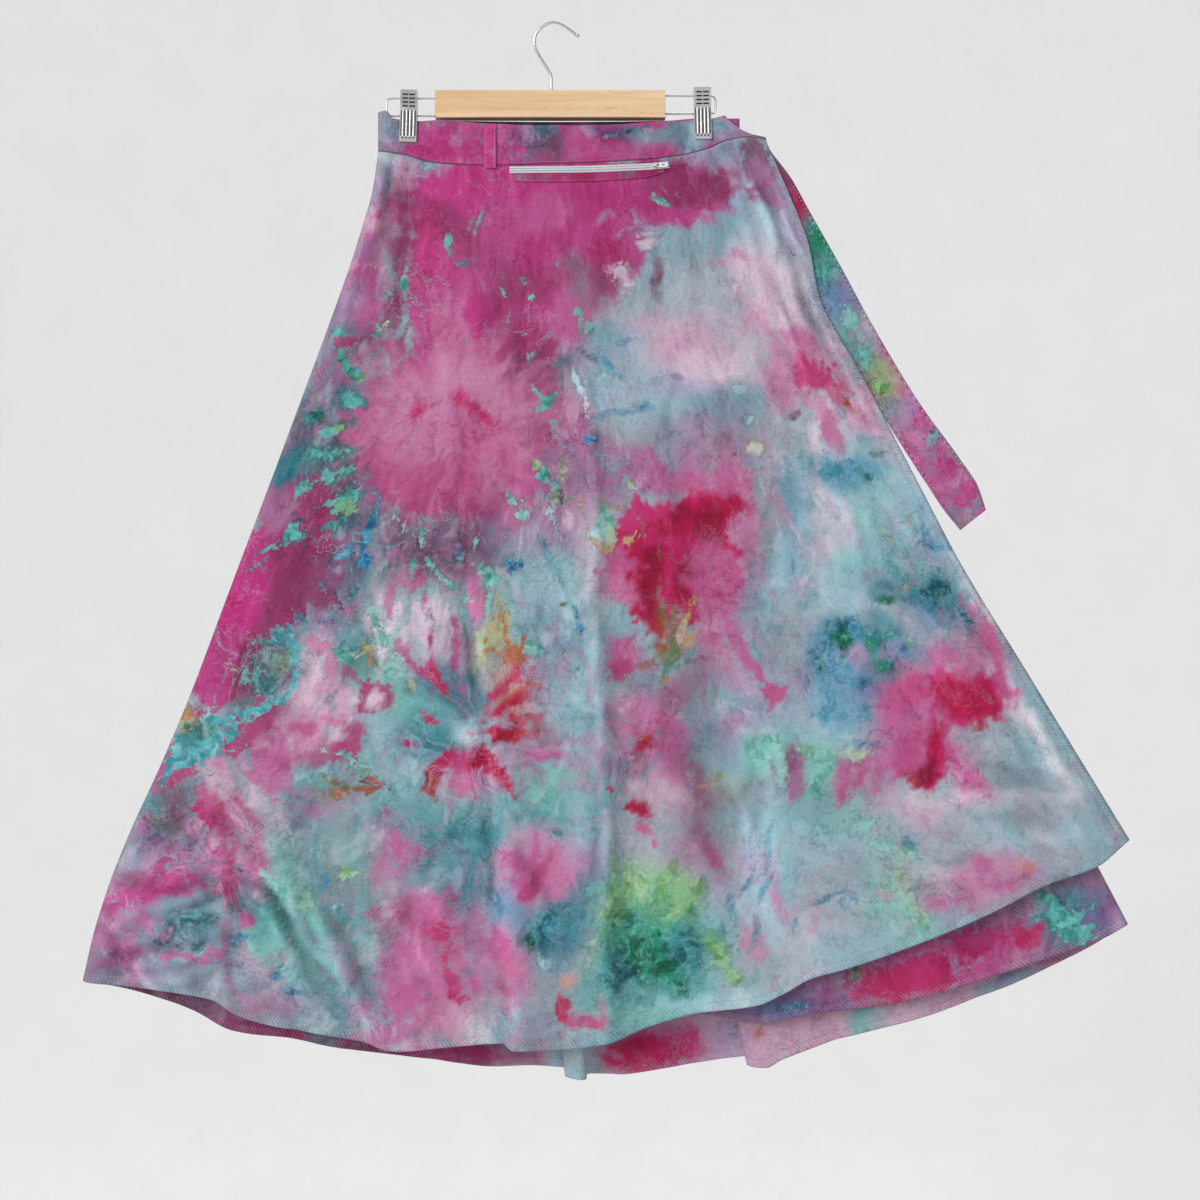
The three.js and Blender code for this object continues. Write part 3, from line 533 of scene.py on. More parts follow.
frontWaist = waistLine(waist["left"], waist["tip"], frontDepth, seamRows)
backWaist = waistLine(waist["left"], waist["fold"], backDepth, backSeamRows, cloth["gap"])
underWaist = waistLine(waist["underEnd"], waist["fold"], underDepth, underSeamRows, cloth["gap"])
frontPlace, frontHemLong = panelPlace(
    frontHemRows, frontWaist, leftEdgeRows, wrapEdgeRows, frontFolds, frontSurface
)
backPlace, backHemLong = panelPlace(backHemRows, backWaist, leftEdgeRows, foldEdgeRows, [], backSurface)
underPlace, _ = panelPlace(underHemRows, underWaist, foldEdgeRows, foldEdgeRows, [], underSurface)


# A grid of cloth, put in place by a function of its two shares, with its weave laid out in metres.
def clothGrid(name, columns, rows, place, weave, warp=None):
    grid = bmesh.new()
    bmesh.ops.create_grid(grid, x_segments=columns, y_segments=rows, size=0.5)
    piece = asPiece(name, grid)
    data = piece.data
    flat = np.empty(len(data.vertices) * 3)
    data.vertices.foreach_get("co", flat)
    flat = flat.reshape(-1, 3)
    across, down = flat[:, 0] + 0.5, 0.5 - flat[:, 1]
    if warp:
        across, down = warp(across, down)
    points = place(across, down)
    data.vertices.foreach_set("co", (points * mm).ravel())
    corners = np.empty(len(data.loops), int)
    data.loops.foreach_get("vertex_index", corners)
    layout = np.stack([across * weave[0], down * weave[1]], 1)
    data.uv_layers.new(name="weave").data.foreach_set("uv", layout[corners].ravel())
    data.shade_smooth()
    data.update()
    return piece, points


def thicken(piece, thickness):
    solid = piece.modifiers.new("thickness", "SOLIDIFY")
    solid.thickness = thickness * mm
    solid.offset = 0
    solid.use_even_offset = False


def paintAttribute(piece, name, kind, values):
    data = piece.data.attributes.new(name, kind, "POINT")
    data.data.foreach_set("color" if kind == "FLOAT_COLOR" else "value", values.astype(np.float32).ravel())


# Dyes by name, as they look on the cloth.
dyes = {
    "fuchsia": "bd5190", "bright": "c4468f", "hot": "c64381", "deep": "b03a78", "plum": "8b466a",
    "dark": "7a3f62", "bloom": "c887ab", "crimson": "b61a54", "cherry": "bd2a64", "rust": "a2432f",
    "pink": "cc8ab0", "rose": "bf6e9e", "pale": "d2afc3", "blush": "e0ccda", "white": "e2dfe4",
    "lilac": "b49cbd", "mauve": "a683a2", "violet": "8a6699", "smoke": "8f8795", "slate": "66697a",
    "ice": "b2d0d9", "mist": "9fbac3", "steel": "84a3b0", "sky": "6aa2bd", "azure": "3c92b6",
    "ink": "35688a", "teal": "438a98", "sea": "69a7a8", "mint": "8fc6be", "turquoise": "62b7b1",
    "jade": "3f9c8d", "emerald": "128a6a", "forest": "0f5a44", "lime": "93bf83", "leaf": "b3cfa4",
    "gold": "c9a765", "orange": "b3603c", "peach": "d3a596", "olive": "7d8a6a", "ruby": "8f1440",
    "wine": "95426f", "clay": "a7769a", "shell": "d2bfcc", "fog": "a8abb6", "dusk": "7d6480",
    "petrol": "2a8896", "aqua": "6fbcc4",
}


def linear(code):
    parts = [int(code[i:i + 2], 16) / 255 for i in (0, 2, 4)]
    return np.array([p / 12.92 if p <= 0.04045 else ((p + 0.055) / 1.055) ** 2.4 for p in parts])


dyeColours = {name: linear(code) for name, code in dyes.items()}


# How far a point is inside an oval, in chart steps; rays break its rim into streaks.
def inside(x, y, cx, cy, wide, tall, turn, rays, seed):
    angle = math.radians(turn)
    dx, dy = x - cx, y - cy
    u = (dx * math.cos(angle) + dy * math.sin(angle)) / wide
    v = (dy * math.cos(angle) - dx * math.sin(angle)) / tall
    r = np.hypot(u, v) + 1e-6
    if rays:
        spoke = softNoise(u / r * 5, v / r * 5, 0.55, seed)
        spoke = spoke + 0.6 * softNoise(u / r * 11, v / r * 11, 0.5, seed + 1)
        r = r * (1 + rays * spoke)
    return (1 - r) * min(wide, tall)


def warpChart(x, y, amount, seed):
    def wave(first):
        broad, middle, fine = (softNoise(x, y, size, first + i) for i, size in enumerate((52, 21, 9)))
        return amount * (broad + 0.5 * middle + 0.3 * fine)
    return x + wave(seed), y + wave(seed + 3)


# Washes: centre, half width, half height, turn, dye, strength, and rays if any.
def layWash(x, y, base, rows, warp, seed):
    x, y = warpChart(x, y, warp, seed)
    colour = np.tile(dyeColours[base], (len(x), 1))
    for i, (cx, cy, wide, tall, turn, dye, strength, *rays) in enumerate(rows):
        deep = inside(x, y, cx, cy, wide, tall, turn, rays[0] if rays else 0, seed + 10 + i)
        share = strength * smooth(-0.45, 0.55, deep / min(wide, tall))
        colour = blend(colour, dyeColours[dye], share[:, None])
    return colour


# Stains: as washes, then how wide their edge is and how much of them covers the cloth.
def layStain(x, y, under, rows, warp, seed):
    x, y = warpChart(x, y, warp, seed)
    colour = under.copy()
    height = np.zeros(len(x))
    for i, (cx, cy, wide, tall, turn, dye, strength, edge, cover, *rays) in enumerate(rows):
        deep = inside(x, y, cx, cy, wide, tall, turn, rays[0] if rays else 0, seed + 10 + i)
        rise = np.clip(0.5 + deep / edge, 0, 1)
        if dye == "clear":
            height = np.minimum(height, 1 - rise * cover)
            continue
        colour = blend(colour, dyeColours[dye], strength * smooth(0.05, 0.6, rise)[:, None])
        height = np.maximum(height, rise * cover)
    return np.concatenate([colour, height[:, None]], 1)


# Where the dyes run softly into each other: centre, half width, half height, strength. Elsewhere their edges
# are torn.
softSpots = [
    (860, 660, 90, 80, 1), (640, 950, 110, 90, 1), (790, 850, 190, 130, 0.85), (940, 720, 120, 90, 0.8),
    (680, 570, 110, 110, 0.6), (480, 710, 110, 90, 0.55), (445, 420, 110, 100, 0.9),
    (520, 220, 150, 80, 0.7), (700, 350, 140, 120, 0.85), (745, 230, 90, 80, 0.85),
    (880, 520, 90, 90, 0.7), (530, 900, 80, 110, 0.95),
    (1000, 820, 120, 80, 0.9), (450, 950, 80, 80, 0.4), (330, 880, 60, 90, 0.3),
]


def softness(x, y):
    share = np.zeros_like(x)
    for cx, cy, wide, tall, strength in softSpots:
        away = np.hypot((x - cx) / wide, (y - cy) / tall)
        share = np.maximum(share, strength * (1 - smooth(0.7, 1.15, away)))
    return share


# Painted shade and light of the creases: how much the colour darkens or pales per millimetre of crease
# height, and its limits.
foldShade = {"per": 0.11, "low": -0.3, "high": 0.22}
dyeing = {"seed": 50, "warp": 9, "steadyFrom": 970, "steadyTo": 1030}


# Lays the three layers of dye, the painted shade and light of the creases (darker troughs, paler ridges), and
# how soft the dyes' edges are, as attributes.
def dyeAndShadeCloth(piece, points, base, washes, stains, flecks, warp=dyeing["warp"], creases=(), crumples=(),
             creaseSeed=creasing["frontSeed"], calm=0.0):
    seed = dyeing["seed"]
    x, y = onChart(points)
    fold = creaseHeight(x, y, creases, crumples, creaseSeed)
    # Crease height turned into painted shade in the troughs and painted light on the ridges.
    shade = np.clip(fold * foldShade["per"], foldShade["low"], foldShade["high"])
    paintAttribute(piece, "fold", "FLOAT", shade)
    warp = blend(warp, min(warp, dyeing["warp"]), smooth(dyeing["steadyFrom"], dyeing["steadyTo"], y))
    wash = layWash(x, y, base, washes, warp * 1.3, seed)
    stain = layStain(x, y, wash, stains, warp, seed + 100)
    fleck = layStain(x, y, wash, flecks, warp * 0.7, seed + 200)
    paintAttribute(piece, "wash", "FLOAT_COLOR", np.concatenate([wash, np.ones((len(x), 1))], 1))
    paintAttribute(piece, "stain", "FLOAT_COLOR", stain)
    paintAttribute(piece, "fleck", "FLOAT_COLOR", fleck)
    paintAttribute(piece, "soft", "FLOAT", np.maximum(softness(x, y), calm))


frontWashes = rowsOf("""
# below the left end of the waistband, and down the left side
372 225 30 84 10 rose .9
352 322 28 72 16 mauve .9
386 192 16 24 20 lilac .6
372 250 12 18 10 violet .45
370 274 16 17 0 fuchsia .6
363 311 17 20 0 rose .85
346 298 9 20 14 lilac .5
388 158 18 8 10 white .95
411 176 15 12 30 pale .85
428 192 38 8 46 lilac .8
405 196 26 6 50 steel .5
450 208 14 10 30 rose .6
378 214 14 12 0 pale .7
398 205 10 34 10 wine .4
334 384 12 40 18 violet .6
302 420 14 36 20 violet .6
351 362 26 24 0 rose .65
365 340 26 14 0 wine .5
325 440 48 74 18 slate .9
332 404 34 24 0 petrol .5
325 425 26 10 -10 wine .5
288 470 26 22 -20 petrol .8
346 476 30 30 0 wine .6
325 456 24 14 0 jade .55
318 502 42 20 0 wine .6
313 524 40 18 -30 petrol .55
358 545 62 46 0 dusk .95
345 515 30 20 -10 teal .5
340 600 46 52 0 clay .8
375 612 20 44 10 sea .6
340 640 30 30 0 steel .5
325 615 14 26 -20 violet .55
300 618 12 8 0 sky .6
345 550 46 44 0 petrol .4
440 545 60 26 0 wine .3
335 450 36 60 18 petrol .25
# from the slanted end of the waistband to the middle
700 345 150 120 0 fog .9
700 250 100 66 0 mist .85
715 172 34 20 0 mauve .9
703 160 26 9 -14 lilac .8
722 168 16 14 0 steel .5
738 190 18 24 0 lilac .6
720 222 30 26 0 steel .8
727 206 16 14 0 sky .5
768 220 22 44 -18 mist .8
700 240 30 30 0 slate .25
730 257 18 10 0 pink .8
752 270 26 40 -16 blush .9
772 300 24 50 -20 shell .8
802 240 14 80 -20 lilac .7
795 290 8 70 -24 slate .4
822 300 12 70 -24 mist .7
690 308 44 14 0 sea .75
668 312 26 8 0 steel .6
733 312 16 14 0 sky .4
650 300 26 16 0 mist .8
645 345 30 34 0 pale .7
690 352 40 28 0 pink .75
700 368 44 18 0 blush .7
748 340 26 20 0 fog .7
790 345 26 18 0 rose .8
812 372 24 26 -20 hot .7
780 380 26 28 -20 pink .8
822 322 10 16 -20 slate .6
818 340 8 8 0 sky .6
845 385 22 60 -26 rose .6
840 430 40 34 -20 blush .8
868 420 20 46 -28 pink .7
885 460 22 30 -28 white .6
616 336 32 20 6 sky .7
606 328 22 12 0 sea .6
622 372 34 28 20 steel .7
600 392 26 30 0 mist .9
640 400 40 22 0 lilac .5
655 425 44 34 0 mist .9
625 430 26 26 0 fog .7
690 385 36 14 0 lilac .6
700 410 26 18 0 sky .35
735 405 34 26 0 steel .7
700 440 60 26 0 mauve .5
720 455 40 20 0 clay .6
770 430 34 26 0 fog .7
640 465 50 20 0 mauve .8
600 455 26 26 0 mauve .7
575 395 20 60 0 mauve .7
562 320 26 26 0 rose .85
552 305 20 12 0 lilac .7
566 420 26 30 0 rose .8
545 455 40 30 0 clay .85
565 370 18 26 0 slate .4
690 335 80 40 0 blush .4
775 275 34 70 -20 blush .45
730 300 60 50 0 shell .35
840 400 40 70 -26 blush .4
735 215 60 34 0 ice .35
640 385 60 34 0 ice .4
# middle
450 545 76 36 0 dusk .95
545 500 66 46 0 clay .9
550 530 50 26 0 mauve .8
590 480 40 34 0 mauve .8
460 560 40 16 0 slate .6
560 590 52 52 0 mist .95
590 560 20 60 0 shell .7
570 660 46 70 0 ice .95
575 690 36 46 0 mist .8
566 640 20 12 0 sky .3
540 612 26 16 0 steel .6
405 610 30 36 0 shell .9 .2
404 628 22 36 4 blush .95 .25
441 628 15 40 -6 blush .95 .2
440 622 9 30 -6 white .6
400 640 12 24 0 white .5
480 625 10 50 0 rose .8
440 590 26 14 0 sea .5
468 660 12 40 -10 clay .7
458 692 36 26 0 teal .9
430 742 44 26 0 teal .85
405 710 30 36 0 sea .8
470 690 12 26 0 petrol .35
462 733 24 13 0 ice .95
460 735 12 8 0 white .6
505 760 50 34 0 fog .8
520 740 44 20 0 clay .6
470 780 40 30 0 pink .8
515 690 26 40 -10 peach .7
540 680 14 40 0 pink .6
350 660 44 34 30 sea .8
372 652 14 22 0 olive .5
388 690 24 30 -30 mint .7
312 660 24 50 10 shell .95
328 710 40 40 20 blush .95
290 730 34 26 0 pink .8
332 690 20 30 30 pink .5
270 745 26 20 0 violet .35
365 730 24 34 0 mist .85
330 770 50 26 0 sea .75
360 785 44 16 0 olive .4
345 790 24 8 0 orange .4
400 790 30 26 0 mist .8
300 790 20 26 0 steel .8
262 668 34 54 20 slate .9
# around the crimson bloom
655 475 60 22 0 rose .8
735 480 34 26 0 pink .8
735 540 30 70 0 pink .9
722 600 30 60 -6 rose .8
735 640 34 50 -30 pink .8
765 500 20 60 0 fog .8
765 580 26 70 0 slate .35
765 600 30 60 -10 steel .7
792 520 18 70 0 sky .6
795 560 26 46 0 ice .5
785 640 40 40 0 mist .8
770 690 40 34 0 lilac .4
615 570 24 34 0 rose .8
610 620 30 26 0 fog .8
630 630 30 20 0 mist .6
622 660 20 26 0 clay .8
690 680 40 30 0 mauve .8
635 685 26 16 0 sea .7
650 745 48 66 0 clay .95
640 730 34 40 0 pink .6
672 720 14 50 -8 wine .45
720 700 26 34 0 mist .9
740 735 44 30 0 lilac .6
715 755 30 26 0 steel .6
765 750 26 34 0 mint .85
720 790 34 22 0 leaf .35
750 800 34 26 0 slate .5
640 845 50 44 0 fog .95
700 810 22 50 -4 clay .7
660 790 40 24 0 shell .6
700 850 30 30 0 mauve .6
745 840 40 40 0 mist .9
640 890 60 22 0 leaf .5
# right
845 520 46 70 -10 fog .9
828 505 20 34 -20 blush .95
835 540 22 20 0 shell .8
812 590 18 16 0 pink .7
855 560 20 16 0 mint .8
860 470 40 34 0 mist .85
846 468 20 12 0 sky .6
885 520 34 46 -20 sea .8
870 500 26 22 0 mint .5
920 500 24 50 -28 ice .9
932 520 16 44 -28 sky .5
938 548 22 12 0 azure .5
905 590 44 20 10 teal .6
935 590 22 22 0 petrol .6
885 570 34 22 0 sea .8
850 610 60 40 0 mist .8
800 640 34 50 0 fog .8
855 665 44 44 0 mist .8
858 660 18 14 0 lilac .8
935 625 40 22 0 fog .9
965 610 14 20 -30 mauve .8
968 618 10 34 -34 teal .7
806 690 14 26 0 violet .45
840 710 44 34 0 ice .6
950 680 70 46 -6 pink .9
985 650 30 26 0 clay .5
905 715 44 50 10 rose .9
900 690 30 24 0 hot .4
990 760 50 44 20 fog .95
965 770 20 40 -30 pink .8
1040 780 44 70 -28 mist .85
1010 790 26 40 -20 slate .4
940 810 80 34 0 shell .8
900 830 60 24 0 pink .4
855 785 34 34 0 clay .6
845 790 24 30 20 pink .5
820 770 26 40 0 mint .9
795 775 16 26 -10 clay .8
820 820 44 26 0 sea .6
870 835 50 22 20 mint .7
1000 830 60 30 10 mist .8
1060 820 44 34 20 fog .9
1090 830 26 22 0 mist .8
1012 700 10 40 -30 shell .8
1045 750 10 60 -28 white .7
970 590 8 60 -30 white .7
920 660 14 10 0 steel .6
870 510 70 60 -20 ice .4
900 860 90 40 0 shell .35
840 590 70 50 0 ice .3
845 642 26 20 0 petrol .65
880 640 20 20 0 petrol .6
886 670 20 14 0 petrol .6
826 668 18 34 -10 sky .7
862 688 26 12 10 azure .6
845 708 34 18 0 sky .65
908 645 16 18 0 azure .45
930 590 44 18 6 petrol .6
890 596 22 12 0 teal .6
930 612 26 12 14 azure .4
848 474 34 14 10 azure .5
858 662 16 12 0 lilac .7
# lower left
230 760 60 30 -20 pink .8
215 790 60 30 0 shell .85
170 820 40 44 20 slate .7
150 845 30 24 20 violet .4
160 828 16 12 0 olive .5
178 810 26 20 0 wine .4
195 800 14 26 10 steel .6
200 870 90 34 -8 clay .9
215 835 34 44 0 pink .85
150 880 50 16 -10 pink .7
250 850 30 50 -20 pink .75
255 830 26 30 0 fog .5
120 950 60 50 16 clay .9
110 970 40 20 16 mauve .7
190 925 60 36 0 steel .85
190 965 60 24 0 mauve .7
240 930 26 40 -20 mauve .6
285 870 20 50 -20 mint .7
300 810 34 26 0 mauve .7
330 850 34 60 0 fog .9
318 850 12 44 0 teal .4
285 940 44 70 -24 mint .9
270 905 30 34 0 sea .6
350 880 24 24 0 leaf .5
370 920 44 60 0 sea .85
330 990 50 60 -30 mist .9
345 1010 34 34 -30 steel .5
395 850 34 34 0 pink .7
392 850 18 28 0 rose .6
420 840 20 30 0 violet .3
430 965 76 90 0 pink .95
415 925 44 26 0 rose .6
440 990 50 40 0 rose .5
250 1000 60 22 14 clay .7
210 985 60 20 10 mist .6
385 1030 50 16 8 rose .7
470 1020 40 20 0 shell .6
330 930 60 90 -10 sea .45
110 920 60 60 0 rose .35
350 850 50 50 0 sea .35
# lower middle and right
560 960 70 70 0 teal .4
450 820 60 30 0 sea .7
470 855 36 44 0 teal .85
430 870 30 20 0 steel .6
540 800 60 34 0 sea .85
560 790 34 26 0 mint .6
520 825 30 16 0 steel .6
580 830 26 60 0 mist .8
540 872 46 40 0 pink .95
570 870 22 34 0 lilac .5
575 930 50 56 0 teal .8
590 915 26 34 0 steel .5
508 915 20 34 0 azure .55
512 965 26 46 -10 pink .95
560 990 44 34 0 fog .8
590 955 20 34 0 shell .7
550 1030 60 16 0 mist .8
655 955 76 66 0 turquoise .6
655 950 60 44 0 jade .75
650 905 60 26 0 lime .5
640 990 60 34 0 sea .6
640 1005 50 16 0 mint .5
728 950 34 60 -10 sea .7
770 930 60 90 0 ice .85
770 960 44 50 0 shell .7
725 870 44 40 0 pink .35
800 880 34 60 -6 mist .85
812 930 24 30 0 blush .6
870 880 60 60 0 mist .9
850 905 60 34 0 fog .6
905 900 34 50 -20 mint .8
920 870 30 26 0 leaf .3
930 850 50 34 0 fog .7
960 890 44 30 0 clay .5
1000 880 50 26 -14 pink .8
860 950 60 20 -14 mist .8
780 1000 60 18 -8 ice .8
700 1000 40 14 0 ice .6
350 450 36 50 20 dark .35
345 545 42 45 0 slate .5
950 550 36 45 0 mist .5
845 350 26 45 -24 fog .35
545 950 40 42 0 petrol .25
450 650 42 42 0 clay .35
550 650 40 40 0 slate .3
550 1030 36 18 0 dusk .4
750 950 46 42 0 sea .45
""")
